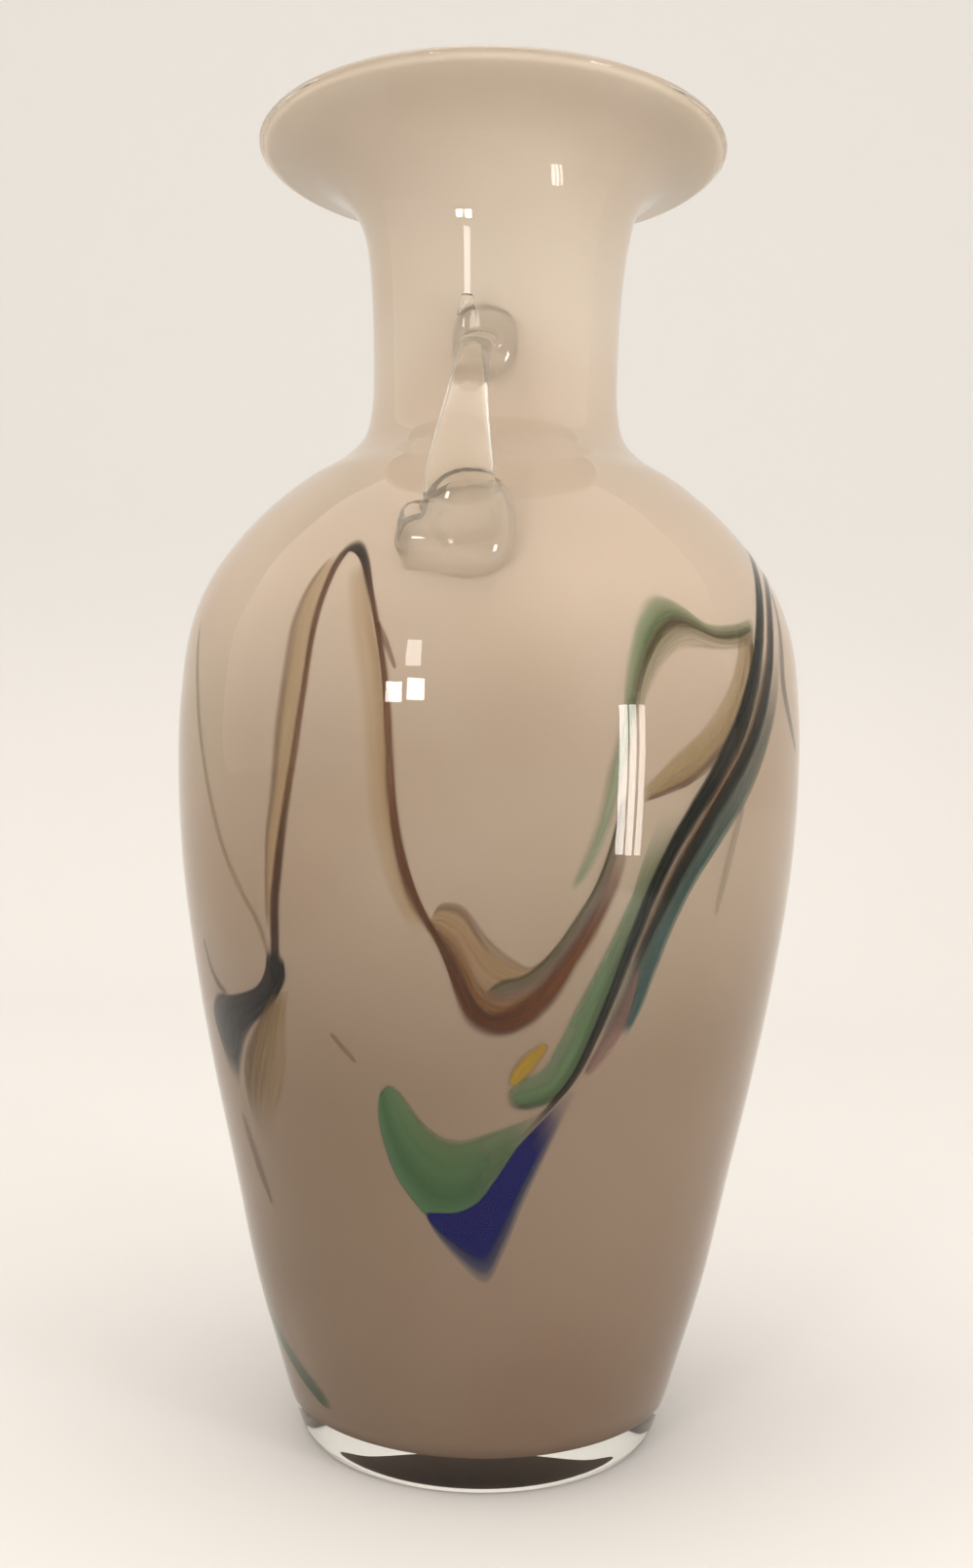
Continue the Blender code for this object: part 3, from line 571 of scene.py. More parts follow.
# The coloured streaks. Places are the angle from the front in degrees and the height in mm.
# A path adds the streak's width in mm; edges are the two sides that the streak is drawn between.
# "across" runs from a path's left, seen in its direction, or from the first edge, to the other side.
trails = {
    "amber_veil_left": {  # a thin amber film with a brown outer edge
        "slot": "amber_glass",
        "across": [
            (0, "#86663C", 0), (0.22, "#86663C", 0.5), (0.45, "#BE9C60", 0.42), (0.75, "#C4A468", 0.4),
            (0.92, "#A07C48", 0.5), (1, "#A07C48", 0),
        ],
        "edges": (
            [(-24.5, 199), (-28, 193), (-30, 185), (-31, 175), (-32, 163), (-33, 151), (-34.5, 139),
             (-35.5, 121)],
            [(-22, 199), (-23.5, 193), (-24.5, 185), (-25, 175), (-26.5, 163), (-28, 151), (-30.5, 139),
             (-33, 121)],
        ),
    },
    "amber_veil_right": {
        "slot": "amber_glass",
        "across": [
            (0, "#C8AA6C", 0), (0.45, "#C8AA6C", 0.25), (0.85, "#B8945C", 0.42), (1, "#A88450", 0),
        ],
        "edges": (
            [(-21, 196), (-19.5, 190), (-17.5, 180), (-15.5, 168), (-14.5, 156), (-13.5, 144),
             (-11, 133), (-6, 122)],
            [(-17.5, 198), (-14.5, 190), (-12, 180), (-10.5, 168), (-10, 156), (-9, 144), (-7, 133),
             (-3, 124)],
        ),
    },
    "amber_fill": {  # thin, streaky amber inside the V, outlined in brown
        "slot": "amber_glass",
        "across": [
            (0, "#76502A", 0), (0.1, "#76502A", 0.5), (0.22, "#B08C50", 0.5), (0.5, "#A87E44", 0.55),
            (0.75, "#7E5228", 0.8), (0.9, "#5C3618", 0.9), (1, "#5C3618", 0.8),
        ],
        "along": [(0, "#FFFFFF", 0), (0.05, "#FFFFFF", 1), (0.6, "#FFFFFF", 1), (1, "#C8B0A0", 0.2)],
        "fray": 0.4,
        "streak": 0.6,
        "edges": (
            [(-3, 126.5), (-1.5, 130), (2, 130), (5, 126), (8, 122), (11, 119), (14, 118), (19, 123),
             (24, 131)],
            [(-4, 125.5), (-0.6, 120), (2.2, 113), (4.4, 107.4), (8, 105.4), (12, 107.2), (16, 111.8),
             (20.6, 118.8), (25, 130)],
        ),
    },
    "arch_branch": {  # a wisp that leaves the right leg of the arch
        "slot": "dark_brown_glass",
        "across": thread("#7A5838", 0.5),
        "path": [(-12.8, 184.6, 1), (-11.4, 181.4, 1.6), (-10.2, 178, 1.4), (-9.2, 175, 0.8)],
    },
    "brown_arch_thread": {  # one long thread: up the left leg, over the arch, down and round the V
        "slot": "dark_brown_glass",
        "across": [
            (0, "#906A44", 0), (0.34, "#80583A", 0.9), (0.64, "#80583A", 0.9), (1, "#906A44", 0),
        ],
        "along": [
            (0, "#706050", 1), (0.08, "#A89480", 1), (0.2, "#FFFFFF", 0.8), (0.33, "#D0C0B0", 0.9),
            (0.38, "#504038", 1), (0.43, "#C8B8A8", 0.9), (0.54, "#FFFFFF", 0.85), (0.63, "#C8B090", 1),
            (0.76, "#B49874", 1), (0.88, "#D8B890", 0.95), (1, "#D8B890", 0),
        ],
        "streak": 0.12,
        "path": [
            (-34, 112, 3.4), (-33.4, 119, 3.4), (-32.6, 127, 3.2), (-31, 137, 3), (-29, 148, 2.6),
            (-27, 160, 2.3), (-25.6, 172, 2), (-24.6, 184, 1.9), (-23.6, 192, 2), (-22.2, 198.4, 2.5),
            (-20, 201, 2.7), (-17.6, 198.4, 2.4), (-15.2, 192, 1.9), (-12.5, 183, 1.7), (-10.6, 172, 2),
            (-9.9, 160, 2.4), (-9.4, 150, 2.6), (-8, 139, 2.8), (-6, 130.6, 2.9), (-3.2, 125, 2.8),
            (-0.4, 120, 2.8), (1.4, 114.6, 3), (3, 109.4, 4), (5.4, 105.8, 5.8), (9, 105.4, 7),
            (13, 107.8, 7), (16.8, 112.4, 6.4), (20.2, 118.6, 5.4), (23.6, 125.6, 4.8),
            (26.6, 133.6, 4.2), (28.6, 142, 3.2), (29.8, 150, 1.6),
        ],
    },
    "olive_inner_thread": {  # inside the V: olive and mauve-grey, a dark line up its inner edge
        "slot": "olive_brown_glass",
        "across": [
            (0, "#4E4632", 0), (0.16, "#564E38", 0.9), (0.34, "#6E6650", 0.7), (0.7, "#7A6860", 0.55),
            (1, "#7A6860", 0),
        ],
        "fray": 0.3,
        "path": [
            (6.4, 110.6, 2.4), (9, 112.6, 4.6), (12.6, 113.6, 4.6), (16.2, 117, 4), (19.4, 121.8, 3.6),
            (22.4, 127.6, 3.2), (25, 134, 2.8), (27, 142, 2.4), (28.4, 152, 1.4),
        ],
    },
    "dark_knot": {
        "slot": "dark_brown_glass",
        "across": [
            (0, "#3E2C24", 0), (0.12, "#2E201A", 0.95), (0.4, "#120A04", 1), (0.85, "#120A04", 1),
            (1, "#3A2414", 0),
        ],
        "along": reach((0, 0), (0.06, 1), (0.75, 1), (1, 0)),
        "streak": 0.1,
        "edges": (
            [(-35.6, 119), (-37, 113.6), (-39.6, 110), (-44, 108), (-50, 106.6), (-56, 106),
             (-60.4, 101), (-58, 94), (-54, 86)],
            [(-31.4, 117), (-31.4, 112), (-34.6, 106.6), (-38.6, 103), (-42.4, 100), (-45.6, 96.6),
             (-48.4, 92.6), (-50, 89), (-52, 84)],
        ),
    },
    "amber_smear": {
        "slot": "amber_glass",
        "across": [
            (0, "#705018", 0), (0.14, "#705018", 0.85), (0.5, "#8C6C28", 0.65), (0.8, "#A8843C", 0.35),
            (1, "#A8843C", 0),
        ],
        "along": reach((0, 0.5), (0.12, 1), (0.6, 0.9), (1, 0)),
        "fray": 0.4,
        "streak": 0.4,
        "edges": (
            [(-36, 108), (-42, 101), (-46.6, 95), (-49.4, 89), (-49.6, 83), (-48, 77)],
            [(-30.4, 110), (-32.4, 102), (-33.4, 94), (-36, 86), (-40, 79.6), (-44, 74)],
        ),
    },
    "sage_patch": {
        "slot": "sage_green_glass",
        "across": [
            (0, "#6E8462", 0), (0.12, "#66805A", 0.8), (0.4, "#567450", 0.95), (0.7, "#486A46", 0.97),
            (0.97, "#58785A", 0.95), (1, "#58785A", 0),
        ],
        "along": [
            (0, "#FFFFFF", 0), (0.03, "#FFFFFF", 1), (0.5, "#F0F4E8", 1), (0.72, "#FFFFFF", 0.75),
            (1, "#FFFFFF", 0),
        ],
        "fray": 0.12,
        "wander": 0.03,
        "streak": 0.06,
        "edges": (
            [(-12, 92.4), (-9.4, 91.4), (-7, 88), (-4.4, 84.6), (-1, 82.4), (3, 82.2), (8, 84),
             (13.6, 86), (19, 88.6)],
            [(-13.2, 91), (-14, 86), (-13.4, 80), (-11.4, 73), (-8.4, 68), (-4, 63.6), (3.4, 65),
             (10.6, 74.4), (18.8, 86)],
        ),
    },
    "cobalt_patch": {  # deep and clean-edged above, thinning to grey below and on the right
        "slot": "cobalt_blue_glass",
        "across": [
            (0, "#04085E", 0), (0.04, "#02065A", 1), (0.6, "#02065A", 1), (0.78, "#1E2C5C", 0.7),
            (0.92, "#5E6878", 0.3), (1, "#5E6878", 0),
        ],
        "along": reach((0, 0), (0.03, 1), (0.66, 1), (1, 0.1)),
        "fray": 0.1,
        "wander": 0.05,
        "streak": 0,
        "edges": (
            [(-5.4, 65.4), (-2.6, 65.6), (1.4, 66.2), (5.4, 68.8), (8.6, 73.6), (12.4, 80), (16.4, 85),
             (22, 91.6)],
            [(-5.4, 64.6), (-3.4, 60.6), (0.6, 55.4), (7.2, 49.6), (11, 56.4), (14, 65.4), (17.8, 76),
             (23.4, 91)],
        ),
    },
    "pale_green_patch": {
        "slot": "pale_green_glass",
        "across": [
            (0, "#7A9072", 0), (0.12, "#6E8866", 0.7), (0.5, "#627C58", 0.85), (0.85, "#4A5E40", 0.95),
            (1, "#4A5E40", 0),
        ],
        "along": [
            (0, "#FFFFFF", 0), (0.05, "#FFFFFF", 1), (0.45, "#FFFFFF", 1), (0.7, "#F4F4E8", 0.8),
            (1, "#FFFFFF", 0),
        ],
        "fray": 0.25,
        "edges": (
            [(9.6, 91), (12.4, 94.4), (16.4, 96.6), (19, 102), (21.6, 109), (24.6, 116), (27.6, 124),
             (30, 131), (32, 139), (35, 150)],
            [(10.2, 88.6), (15, 87.6), (20.4, 90.4), (24, 97.4), (26.4, 106), (28.8, 114.6),
             (31.4, 124), (34.4, 133), (38, 142), (43, 151)],
        ),
    },
    "moss_streak": {
        "slot": "moss_green_glass",
        "across": [(0, "#9CAE94", 0), (0.5, "#94A68A", 0.65), (1, "#94A084", 0)],
        "path": [
            (29.4, 172, 3.6), (28, 163, 4.8), (26.4, 155, 5.4), (25, 147, 5), (23.4, 141, 4.4),
            (21.6, 136.4, 3.4), (19.6, 132, 1.6),
        ],
    },
    "strand_veil": {  # the thin grey-green film that joins the two dark strands
        "slot": "bottle_green_glass",
        "across": [(0, "#6E7A66", 0), (0.3, "#6E7664", 0.5), (0.6, "#8A7464", 0.6), (1, "#8A7464", 0)],
        "edges": (
            [(26, 101), (28.6, 111), (31.4, 121), (34.6, 131), (38.4, 140), (43, 148.4), (48.4, 157),
             (53.4, 166), (57.4, 175), (61, 185)],
            [(30, 101), (33, 110), (35.6, 119), (38.6, 127.6), (42.4, 135.6), (47, 143.6), (52.6, 152),
             (57.6, 161), (61.8, 171), (65, 182)],
        ),
    },
    "teal_strip": {
        "slot": "grey_teal_glass",
        "across": [
            (0, "#56685E", 0), (0.2, "#44564E", 0.9), (0.75, "#365250", 0.95), (0.92, "#5C7468", 0.7),
            (1, "#54706E", 0),
        ],
        "along": reach((0, 0), (0.04, 1), (0.4, 0.95), (0.7, 0.6), (1, 0)),
        "edges": (
            [(29, 104), (30.6, 111), (32.6, 118.6), (35.6, 127), (39.6, 136), (44.6, 145), (50.6, 154),
             (56.6, 164), (61.6, 175), (65, 188)],
            [(32, 101.6), (35, 108.6), (37.2, 117), (39.6, 125), (43.4, 133.6), (49, 142), (56, 151.6),
             (61.6, 161.6), (66.6, 173), (69.6, 187)],
        ),
    },
    "amber_band": {  # amber above, with a brown lower edge
        "slot": "amber_glass",
        "across": [
            (0, "#C0A878", 0), (0.16, "#B69C6A", 0.5), (0.62, "#A48A5C", 0.62), (0.88, "#6A4A2C", 0.92),
            (1, "#5A4030", 0),
        ],
        "streak": 0.35,
        "edges": (
            [(31, 152.4), (34, 156), (37.6, 160.4), (43, 165), (47.6, 171), (51.4, 178), (54, 187)],
            [(31, 149.6), (36, 151.4), (41, 153.4), (46.4, 157.6), (52, 165), (56.6, 174.4),
             (58.6, 186)],
        ),
    },
    "bottle_green_inner_strand": {
        "slot": "bottle_green_glass",
        "across": [
            (0, "#343C20", 0), (0.2, "#10160A", 1), (0.66, "#0C1006", 1), (0.84, "#30281A", 0.85),
            (1, "#6A5A40", 0),
        ],
        "along": reach((0, 0), (0.04, 0.9), (0.12, 1), (0.9, 1), (1, 0)),
        "fray": 0.3,
        "path": [
            (13, 81.6, 0.8), (18, 88, 1.4), (22.4, 94.4, 1.8), (25.2, 101.6, 2.2), (28.2, 111, 2.6),
            (31, 121, 3), (34, 131, 3.4), (37.6, 140, 3.8), (42.2, 148.6, 4.4), (47.6, 157, 5.2),
            (52.8, 166.4, 5.6), (57, 175.6, 5.2), (60.6, 184.6, 4.4), (65.4, 193.4, 3.6), (73, 201, 3),
            (82, 205.6, 2.8), (90, 206.6, 2.7), (98, 204.8, 2.7), (107, 198.6, 2.8), (115, 190, 3),
            (122.5, 178, 3.2), (129, 164, 3.4), (135.5, 149, 3.4), (141.5, 134, 3), (147, 118, 2.6),
            (151.5, 102, 2), (155, 90, 1),
        ],
    },
    "bottle_green_outer_strand": {  # brown-grey inside, dark green outside
        "slot": "bottle_green_glass",
        "across": [
            (0, "#9C785C", 0), (0.14, "#8A6448", 0.75), (0.28, "#2A2010", 0.95), (0.72, "#0A140A", 1),
            (1, "#20382C", 0),
        ],
        "fray": 0.3,
        "path": [
            (31, 112, 1.2), (33.4, 121, 2.6), (36.6, 129.6, 3.6), (40, 137.4, 4.2), (44.2, 145, 4.8),
            (49.2, 152.8, 5.2), (54.4, 160.4, 5.2), (59, 168.8, 5), (62.8, 177.4, 4.6), (65.8, 186, 4),
            (70.6, 193.6, 3.4), (78, 199, 3), (88, 201.4, 2.8), (97, 199.6, 2.8), (103.6, 194.4, 2.9),
            (110, 186, 3), (117, 174, 3.2), (123.4, 161, 3.2), (129.6, 147, 3), (135, 132, 2.4),
            (139, 120, 1.2),
        ],
    },
    "mauve_tip": {
        "slot": "mauve_glass",
        "across": [
            (0, "#846860", 0), (0.25, "#7C6058", 0.75), (0.7, "#946E64", 0.7), (1, "#9C766A", 0),
        ],
        "path": [
            (24.6, 94.6, 1.4), (27, 98.8, 3.8), (29.4, 103.6, 4.6), (31.2, 109.6, 3.6),
            (32.8, 117, 1.4),
        ],
    },
    "moss_loop": {  # green outside, an olive line through the middle, paler inside
        "slot": "moss_green_glass",
        "across": [
            (0, "#7E9C74", 0), (0.22, "#729868", 0.55), (0.4, "#5C7448", 0.8), (0.52, "#4E4626", 0.9),
            (0.68, "#86845C", 0.6), (1, "#A6A688", 0),
        ],
        "along": [
            (0, "#FFFFFF", 0), (0.12, "#FFFFFF", 0.8), (0.35, "#FFFFFF", 1), (0.6, "#F4E4D4", 1),
            (0.96, "#E8D4C0", 0.9), (1, "#E8D4C0", 0.3),
        ],
        "fray": 0.35,
        "streak": 0.3,
        "edges": (
            [(27.4, 165), (27.6, 173), (28.6, 181), (30.6, 188), (34.6, 192), (39.6, 190.4),
             (44.6, 187), (51, 187), (59, 189)],
            [(31, 165), (32.6, 171), (35, 176), (38.6, 179.4), (42.4, 180.6), (46.4, 180.6), (51, 181),
             (55, 182), (59, 184)],
        ),
    },
    "yellow_fleck": {
        "slot": "straw_yellow_glass",
        "across": [(0, "#B4901C", 0), (0.3, "#B8921C", 0.9), (0.7, "#A8882C", 0.8), (1, "#A8882C", 0)],
        "streak": 0.3,
        "path": [(11, 93, 1.8), (12.8, 96, 4.4), (15, 99, 3.8), (17.2, 101.8, 1.4)],
    },
    "left_fine_thread": {
        "slot": "olive_brown_glass",
        "across": thread("#9C8458", 0.5),
        "path": [
            (-61, 188, 1.4), (-58.4, 179, 2), (-55.8, 169.6, 2.2), (-53, 159.6, 2), (-49.6, 148.6, 1.9),
            (-46, 138.6, 1.8), (-41.4, 130, 1.7), (-37, 123, 1.6), (-34.8, 114, 1.2),
        ],
    },
    "left_low_thread": {
        "slot": "olive_brown_glass",
        "across": thread("#6E5638", 0.6),
        "path": [(-58.6, 118, 1.4), (-57, 112.4, 2), (-54.6, 108.8, 2.4), (-50, 106, 1.8)],
    },
    "left_brown_dash": {
        "slot": "olive_brown_glass",
        "across": thread("#7E5634", 0.6),
        "path": [(-53, 80, 1.6), (-51.6, 74, 3.2), (-49.4, 67, 3.4), (-46.6, 59.6, 1.4)],
    },
    "brown_tick": {
        "slot": "olive_brown_glass",
        "across": thread("#7E5A3A", 0.45),
        "path": [(-22.4, 102, 1), (-20, 99.2, 1.6), (-17.4, 96.2, 1)],
    },
    "grey_hair_line": {
        "slot": "grey_teal_glass",
        "across": thread("#8E8474", 0.3),
        "path": [(54, 150, 2), (51.6, 141, 3), (50, 133, 2.4), (48.8, 126, 1.2)],
    },
    "right_edge_streak": {
        "slot": "grey_teal_glass",
        "across": thread("#6E6A5C", 0.6),
        "path": [
            (76, 197, 1.6), (72.6, 190, 2.6), (70, 182, 3.4), (69.4, 175, 4), (72.4, 167.6, 3.6),
            (77.6, 160, 2),
        ],
    },
    "lower_left_green_strip": {
        "slot": "bottle_green_glass",
        "across": [
            (0, "#2E4A2C", 0), (0.2, "#2E4A2C", 0.95), (0.55, "#3E5A38", 0.8), (1, "#74866A", 0),
        ],
        "path": [
            (-37.6, 13.6, 2), (-44, 16.8, 5.6), (-52.4, 21.4, 7), (-60, 26.2, 7.4), (-68, 31.4, 7.2),
            (-78, 38.4, 6.4), (-90, 47, 5.4), (-104, 57, 4.8), (-118, 68, 3.8), (-130, 78, 2),
        ],
    },
    "back_amber_veil": {
        "slot": "amber_glass",
        "across": [
            (0, "#B89B6C", 0), (0.5, "#C2A880", 0.45), (0.85, "#7A5C3A", 0.75), (1, "#7A5C3A", 0),
        ],
        "path": [
            (203.6, 190, 1.8), (207, 179, 5), (209.4, 165, 6.4), (211.8, 151, 6.6), (214, 137, 5.6),
            (215.4, 123, 4), (215.8, 110, 1.8),
        ],
    },
    "back_sage_patch": {
        "slot": "sage_green_glass",
        "across": [
            (0, "#647450", 0), (0.1, "#5A6C48", 0.97), (0.8, "#66765A", 0.92), (1, "#74805E", 0),
        ],
        "fray": 0.12,
        "streak": 0.06,
        "path": [
            (192.6, 88.6, 3), (191.4, 82, 9), (187.4, 74, 13), (180.6, 69.6, 15), (173, 71.2, 13.4),
            (166.2, 77, 9.4), (161, 84, 5), (158, 89.6, 2.4),
        ],
    },
    "back_cobalt_patch": {
        "slot": "cobalt_blue_glass",
        "across": [
            (0, "#5E6878", 0), (0.2, "#263468", 0.7), (0.34, "#02065A", 1), (0.94, "#02065A", 1),
            (1, "#04085E", 0),
        ],
        "fray": 0.1,
        "streak": 0,
        "path": [
            (158.6, 84.6, 1.4), (161.6, 79, 3.4), (165, 73.6, 5.2), (168.6, 68, 7), (172.6, 62.6, 9.6),
            (176.6, 58.2, 12.4), (180.6, 54.6, 14),
        ],
    },
    "back_amber_band": {
        "slot": "amber_glass",
        "across": [
            (0, "#5A4030", 0), (0.2, "#6A4E34", 0.9), (0.45, "#98805A", 0.75), (1, "#B09872", 0),
        ],
        "path": [
            (150.6, 148, 1.8), (146.2, 155, 5), (141.6, 163, 6.6), (137.4, 171.6, 6.6),
            (134.6, 180, 5.4), (133.4, 187, 2.2),
        ],
    },
    "back_brown_arch_thread": {
        "slot": "dark_brown_glass",
        "across": [
            (0, "#7E5634", 0), (0.3, "#54320E", 0.94), (0.62, "#54320E", 0.94), (1, "#7E5634", 0),
        ],
        "streak": 0.12,
        "path": [
            (214, 104, 3), (213, 118, 3.1), (211, 132, 3), (208.6, 146, 2.7), (206, 160, 2.4),
            (204, 174, 2.1), (201.6, 186, 2), (198, 192.6, 2.5), (194.4, 190, 2.4), (192.4, 181, 2),
            (191, 168, 2.4), (190.2, 154, 2.8), (188.6, 140, 3), (185.6, 127, 3.4), (181.4, 115, 4.2),
            (176.4, 105.6, 5.4), (171, 101, 6), (165.6, 104.6, 5), (161.2, 112.4, 4), (157.4, 122, 3.2),
            (154.4, 133, 2.6), (152.6, 144, 1.2),
        ],
    },
}

wrappedTrail = wrappedTrailTree()
outlineHelper = lineObject("outlineLine", [(0.0, -r * mm, z * mm) for r, z in line])


def onPlan(angle, height):  # flat plan: arc across, distance along the outline up, in metres
    x = math.radians(angle) * trailLook["planeRadius"]
    return (x * mm, distanceAt(height, wall["opalDepth"]) * mm, 0.0)


def threadEdges(path):  # the two sides of a thread given as angle, height and width
    radius = trailLook["planeRadius"]
    points = [(math.radians(a) * radius, distanceAt(h, wall["opalDepth"]), w) for a, h, w in path]
    curve = smoothPath(points, 3)
    left, right = [], []
    for k, (x, y, w) in enumerate(curve):
        before, after = curve[max(0, k - 1)], curve[min(len(curve) - 1, k + 1)]
        stretch = radius / inside(y, wall["opalDepth"])[0]
        dx, dy = (after[0] - before[0]) / stretch, after[1] - before[1]
        size = math.hypot(dx, dy)
        sx, sy = -dy / size * stretch * w / 2, dx / size * w / 2
        left.append(((x + sx) * mm, (y + sy) * mm, 0.0))
        right.append(((x - sx) * mm, (y - sy) * mm, 0.0))
    return left, right


def widest(left, right):
    return max(math.dist(a, b) for a, b in zip(left, right)) / mm


def makeTrail(number, node, settings):
    look = {**trailLook, **settings, "seed": trailLook["seedStep"] * number}
    if "path" in look:
        left, right = threadEdges(look["path"])
        width = max(p[2] for p in look["path"])
    else:
        left, right = [[onPlan(a, h) for a, h in edge] for edge in look["edges"]]
        width = widest(left, right)
    length = sum(math.dist(a, b) for a, b in zip(left, left[1:])) / mm
    other = lineObject(node + "Other", right)
    values = {
        "Other Edge": other,
        "Outline": outlineHelper,
        "Depth": (look["depth"] - look["stack"] * number) * mm,
        "Along": max(12, round(length / look["rowLength"])),
        "Across": max(4, round(width / look["rowWidth"])),
        "Material": trailGlass(node + "Glass", look, width, length),
    }
    piece = growFrom(lineObject(node + "Edge", left), wrappedTrail, values, node + "_drawn")
    bpy.data.objects.remove(other)
    face = piece.data.polygons[0]
    if face.normal.dot(Vector((face.center.x, face.center.y, 0))) < 0:
        piece.data.flip_normals()
    return keep(piece, look["slot"], node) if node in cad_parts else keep(piece, look["slot"])


for number, (node, settings) in enumerate(trails.items()):
    makeTrail(number, node, settings)
bpy.data.objects.remove(outlineHelper)
print("streaks done:", len(trails))


# The two clear handles, pulled hot from a blob on the shoulder to the neck. All lengths in mm.
handle = {
    "voxel": 0.4,
    "smooth": 9,
    "sink": 4.2,  # how far the pads reach into the wall
    "pads": [  # height, width, length, thickness, side step and squareness
        (205.0, 19.0, 25.0, 6.8, 1.8, 2.4),
        (201.0, 12.4, 12.0, 7.5, -5.4, 4.0),
        (250.2, 14.6, 15.8, 3.4, 0.6, 2.5),
    ],
    "strap": [  # distance from the axis, height, width and thickness
        (60.0, 204.0, 13.0, 8.0), (65.0, 207.5, 14.4, 7.0), (64.8, 213.5, 14.2, 6.6),
        (61.4, 222.0, 11.8, 6.0), (56.0, 231.0, 9.2, 5.4), (48.6, 239.6, 7.6, 5.0),
        (41.0, 245.6, 7.2, 4.8), (34.6, 249.2, 8.8, 4.6), (29.0, 250.4, 9.0, 4.4),
    ],
    "lug": [(32.2, 249.0, 5.6, 2.6), (32.6, 254.6, 4.4, 2.8), (32.3, 259.6, 3.0, 2.2)],
    "lugSide": -3.2,  # the sheared end of the strap stands left of the middle
    "bend": 1.17,  # melted into the casing, so it bends light less than a lens in air would
    "tint": "#FBFAF5",
}


def padShape(level, across, along, thick, side, squareness, sink, rings=12, steps=48):  # a domed pad
    centre = distanceAt(level, 0)
    baseRadius = inside(centre, 0)[0]
    power = 2 / squareness
    rows = [(k / 4, -sink) for k in range(1, 4)] + [(1.0, -sink)]
    for k in range(rings):
        a = math.pi / 2 * k / rings
        rows.append((math.cos(a) ** power, thick * math.sin(a) ** power))

    def place(share, k, lift):
        a = 2 * math.pi * k / steps
        c, s = math.cos(a), math.sin(a)
        x = 0.5 * across * share * math.copysign(abs(c) ** power, c) + side
        y = 0.5 * along * share * math.copysign(abs(s) ** power, s)
        r, z = inside(centre + y, -lift)
        return atAngle(r, z, math.degrees(x / baseRadius))

    vertices, faces = [place(0, 0, -sink)], []
    for share, lift in rows:
        vertices += [place(share, k, lift) for k in range(steps)]
    top = len(vertices)
    vertices.append(place(0, 0, thick))
    for k in range(steps):
        n = (k + 1) % steps
        faces.append((0, 1 + n, 1 + k))
        for ring in range(len(rows) - 1):
            low, high = 1 + ring * steps, 1 + (ring + 1) * steps
            faces.append((low + k, low + n, high + n, high + k))
        last = 1 + (len(rows) - 1) * steps
        faces.append((top, last + k, last + n))
    return vertices, faces


def strapShape(path, side=0.0, sides=28):  # a drawn strap in the plane of the handle
    curve = smoothPath(path, 8)
    vertices, faces = [], []
    for i, (r, z, wide, thick) in enumerate(curve):
        before, after = curve[max(0, i - 1)], curve[min(len(curve) - 1, i + 1)]
        along = (after[0] - before[0], after[1] - before[1])
        size = math.hypot(*along)
        out = (along[1] / size, -along[0] / size)
        for k in range(sides):
            a = 2 * math.pi * k / sides
            lift = 0.5 * thick * math.cos(a)
            x = 0.5 * wide * math.sin(a) + side
            vertices.append(Vector((x, -(r + out[0] * lift), z + out[1] * lift)) * mm)
    for i in range(len(curve) - 1):
        for k in range(sides):
            n = (k + 1) % sides
            faces.append((i * sides + k, i * sides + n, (i + 1) * sides + n, (i + 1) * sides + k))
    faces.append(tuple(range(sides)))
    faces.append(tuple(range(len(vertices) - sides, len(vertices))))
    return vertices, faces


def makeHandle(name, node, turn, material):
    shapes = [padShape(*pad, handle["sink"]) for pad in handle["pads"]]
    shapes += [strapShape(handle["strap"]), strapShape(handle["lug"], handle["lugSide"], 16)]
    vertices, faces = [], []
    for shapeVertices, shapeFaces in shapes:
        base = len(vertices)
        vertices += shapeVertices
        faces += [tuple(base + k for k in face) for face in shapeFaces]
    mesh = bpy.data.meshes.new(name)
    mesh.from_pydata(vertices, [], faces)
    mesh.transform(Matrix.Rotation(math.radians(turn), 4, "Z"))
    faceOut(mesh)
    rough = bpy.data.objects.new(name + "Rough", mesh)
    bpy.context.collection.objects.link(rough)
    melt = rough.modifiers.new("melt", "REMESH")
    melt.mode = "VOXEL"
    melt.voxel_size = handle["voxel"] * mm
    fire = rough.modifiers.new("fire", "SMOOTH")
    fire.factor = 0.5
    fire.iterations = handle["smooth"]
    piece = plainPiece(name, rough, material)
    piece.data.shade_smooth()
    faceOut(piece.data)
    return keep(piece, "clear_glass", node)


handleGlass = clearGlass("clearHandleGlass", handle["tint"], handle["bend"])
handleShader = handleGlass.node_tree.nodes["Principled BSDF"]
handleShader.inputs["Coat Weight"].default_value = 1.0
makeHandle("handle_front", "front_handle", 0, handleGlass)
makeHandle("handle_back", "back_handle", 180, handleGlass)
print("handles done")


# Floor, light and camera, in metres
stage = {
    "floor": "#E2E4E6",
    "matt": 0.7,
    "gap": 0.0002,  # the floor lies just under the foot, so that their faces don't meet
    "front": -4.0,
    "back": 0.9,
    "bend": 0.35,
    "height": 2.2,
    "width": 8.0,
    "horizon": 1.42,  # strength of the light round the sides
    "zenith": 1.8,
    "opening": 0.43,  # how much of that light comes from the camera's side, where the tent is open
    "sides": (1.12, 0.9),  # the left of the tent is brighter than the right
    "sky": "#F7ECDF",
    "lamp": "#FFFAF4",
    "steps": 12,  # faces in the floor's upward bend
}

softboxes = {  # place, width, height and radiance
    "leftPaneOuter": ((-0.445, -0.9, 0.328), 0.1, 0.048, 38.0),
    "leftPaneInner": ((-0.305, -0.9, 0.328), 0.1, 0.048, 38.0),
    "neckPane": ((-0.33, -0.9, 0.44), 0.09, 0.11, 16.0),
    "sideStripFront": ((0.43, -0.362, 0.14), 0.029, 0.2, 26.0),
    "sideStripMiddle": ((0.452, -0.337, 0.14), 0.024, 0.2, 22.0),
    "sideStripBack": ((0.474, -0.312, 0.14), 0.022, 0.2, 18.0),
}

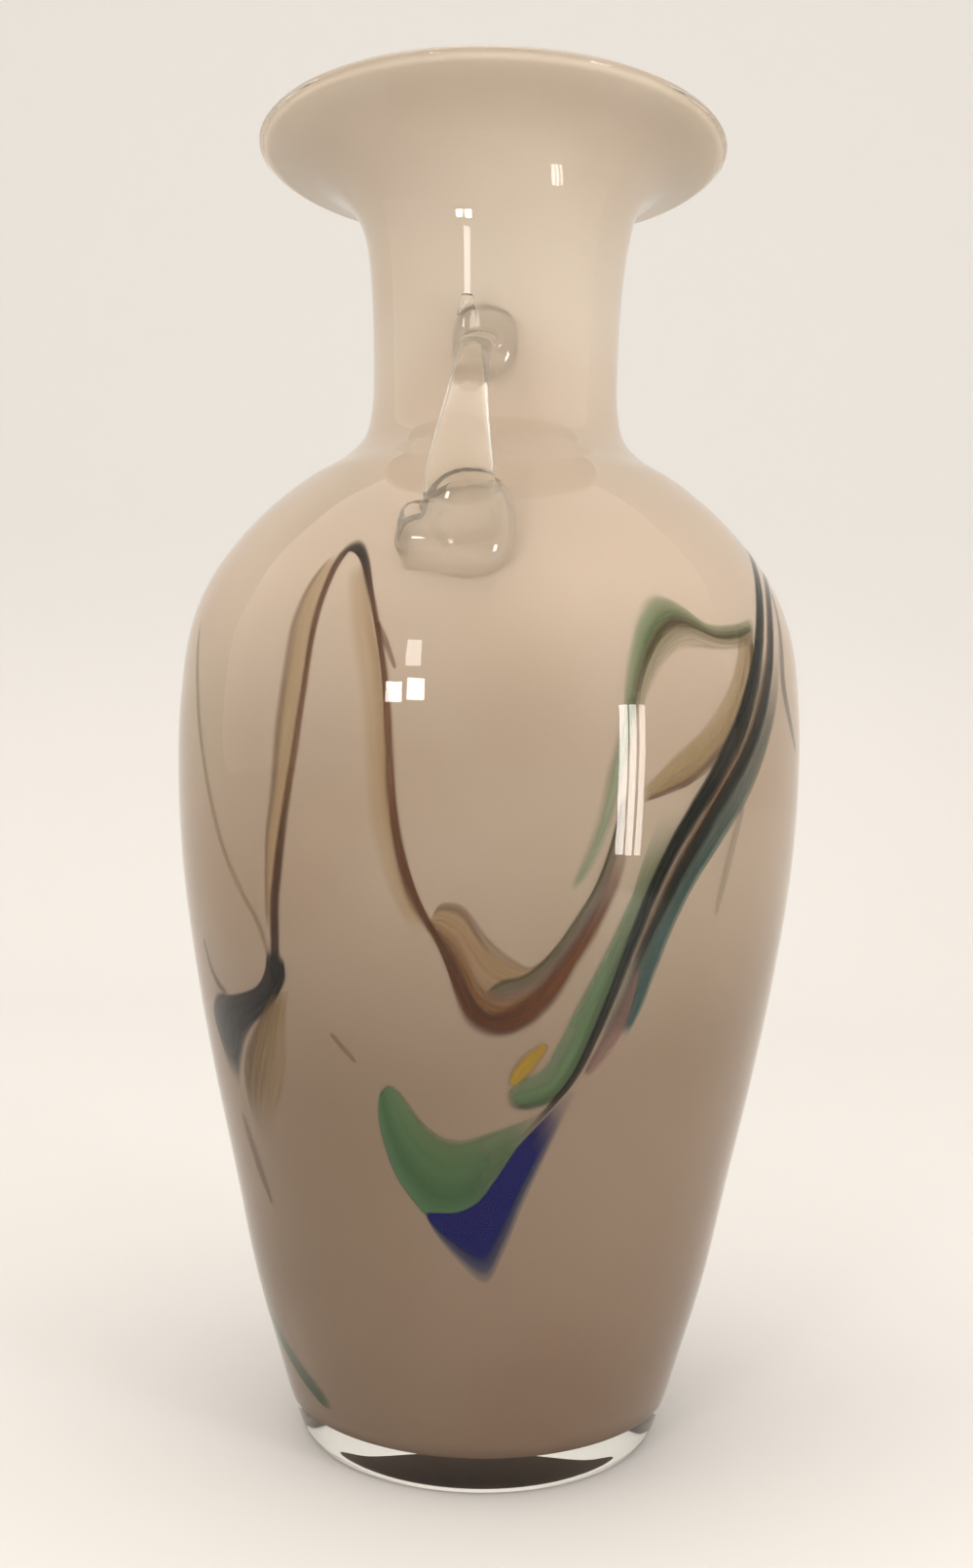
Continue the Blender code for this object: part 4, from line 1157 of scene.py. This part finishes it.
view = {  # angles in degrees, lengths in metres
    "azimuth": 6.0,
    "distance": 0.366,
    "height": 0.1578,
    "pitch": 0.9,
    "roll": 1.0,
    "lens": 34.9,
    "shift": -0.0012,
}


def makeFloor():  # a pale sheet that sweeps up behind the vase
    material = newMaterial("paleFloor")
    tree = material.node_tree
    look = {"Base_Color": linear(stage["floor"]), "Roughness": stage["matt"]}
    addOutput(tree, addNode(tree, "ShaderNodeBsdfPrincipled", **look).outputs[0])
    start = stage["back"] - stage["bend"]
    profile = [(stage["front"], 0.0), (start, 0.0)]
    for k in range(1, stage["steps"] + 1):
        a = math.pi / 2 * k / stage["steps"]
        profile.append((start + stage["bend"] * math.sin(a), stage["bend"] * (1 - math.cos(a))))
    profile.append((stage["back"], stage["height"]))
    half = stage["width"] / 2
    vertices = [(x, y, z - stage["gap"]) for y, z in profile for x in (-half, half)]
    faces = [(2 * k, 2 * k + 1, 2 * k + 3, 2 * k + 2) for k in range(len(profile) - 1)]
    mesh = bpy.data.meshes.new("floor")
    mesh.from_pydata(vertices, [], faces)
    mesh.materials.append(material)
    mesh.shade_smooth()
    floor = bpy.data.objects.new("floor", mesh)
    bpy.context.collection.objects.link(floor)


def addSoftbox(name, place, width, height, radiance):
    lamp = bpy.data.lights.new(name, "AREA")
    lamp.shape = "RECTANGLE"
    lamp.size = width
    lamp.size_y = height
    lamp.energy = radiance * math.pi * width * height
    lamp.color = linear(stage["lamp"])[:3]
    box = bpy.data.objects.new(name, lamp)
    box.location = place
    aim = Vector((0.0, 0.0, place[2])) - Vector(place)
    box.rotation_euler = aim.to_track_quat("-Z", "Y").to_euler()
    bpy.context.collection.objects.link(box)


def makeSky():  # a tent of light, stronger from above and from the left, open towards the camera
    world = bpy.data.worlds.new("studio")
    world.use_nodes = True
    tree = world.node_tree
    direction = addNode(tree, "ShaderNodeTexCoord").outputs["Generated"]
    parts = addNode(tree, "ShaderNodeSeparateXYZ", i0=direction).outputs
    strength = addRange(tree, parts[2], 0.0, 1.0, stage["horizon"], stage["zenith"])
    front = addRange(tree, parts[1], -0.3, -1.0, 1.0, stage["opening"])
    strength = addMath(tree, "MULTIPLY", strength, front)
    side = addRange(tree, parts[0], -0.8, 0.8, *stage["sides"])
    strength = addMath(tree, "MULTIPLY", strength, side)
    background = tree.nodes["Background"]
    background.inputs[0].default_value = linear(stage["sky"])
    tree.links.new(strength, background.inputs[1])
    bpy.context.scene.world = world


def makeCamera():
    camera = bpy.data.cameras.new("camera")
    camera.lens = view["lens"]
    camera.sensor_width = 36
    camera.shift_x = view["shift"]
    camera.clip_start = 0.01
    shooter = bpy.data.objects.new("camera", camera)
    bpy.context.collection.objects.link(shooter)
    turn = math.radians(view["azimuth"])
    far = view["distance"]
    shooter.location = (far * math.sin(turn), -far * math.cos(turn), view["height"])
    aim = Matrix.Rotation(turn, 3, "Z") @ Matrix.Rotation(math.radians(90 - view["pitch"]), 3, "X")
    shooter.rotation_euler = (aim @ Matrix.Rotation(math.radians(view["roll"]), 3, "Z")).to_euler()
    bpy.context.scene.camera = shooter


makeFloor()
for name, softbox in softboxes.items():
    addSoftbox(name, *softbox)
makeSky()
makeCamera()
bpy.context.scene.view_settings.view_transform = "Standard"
print("stage done")
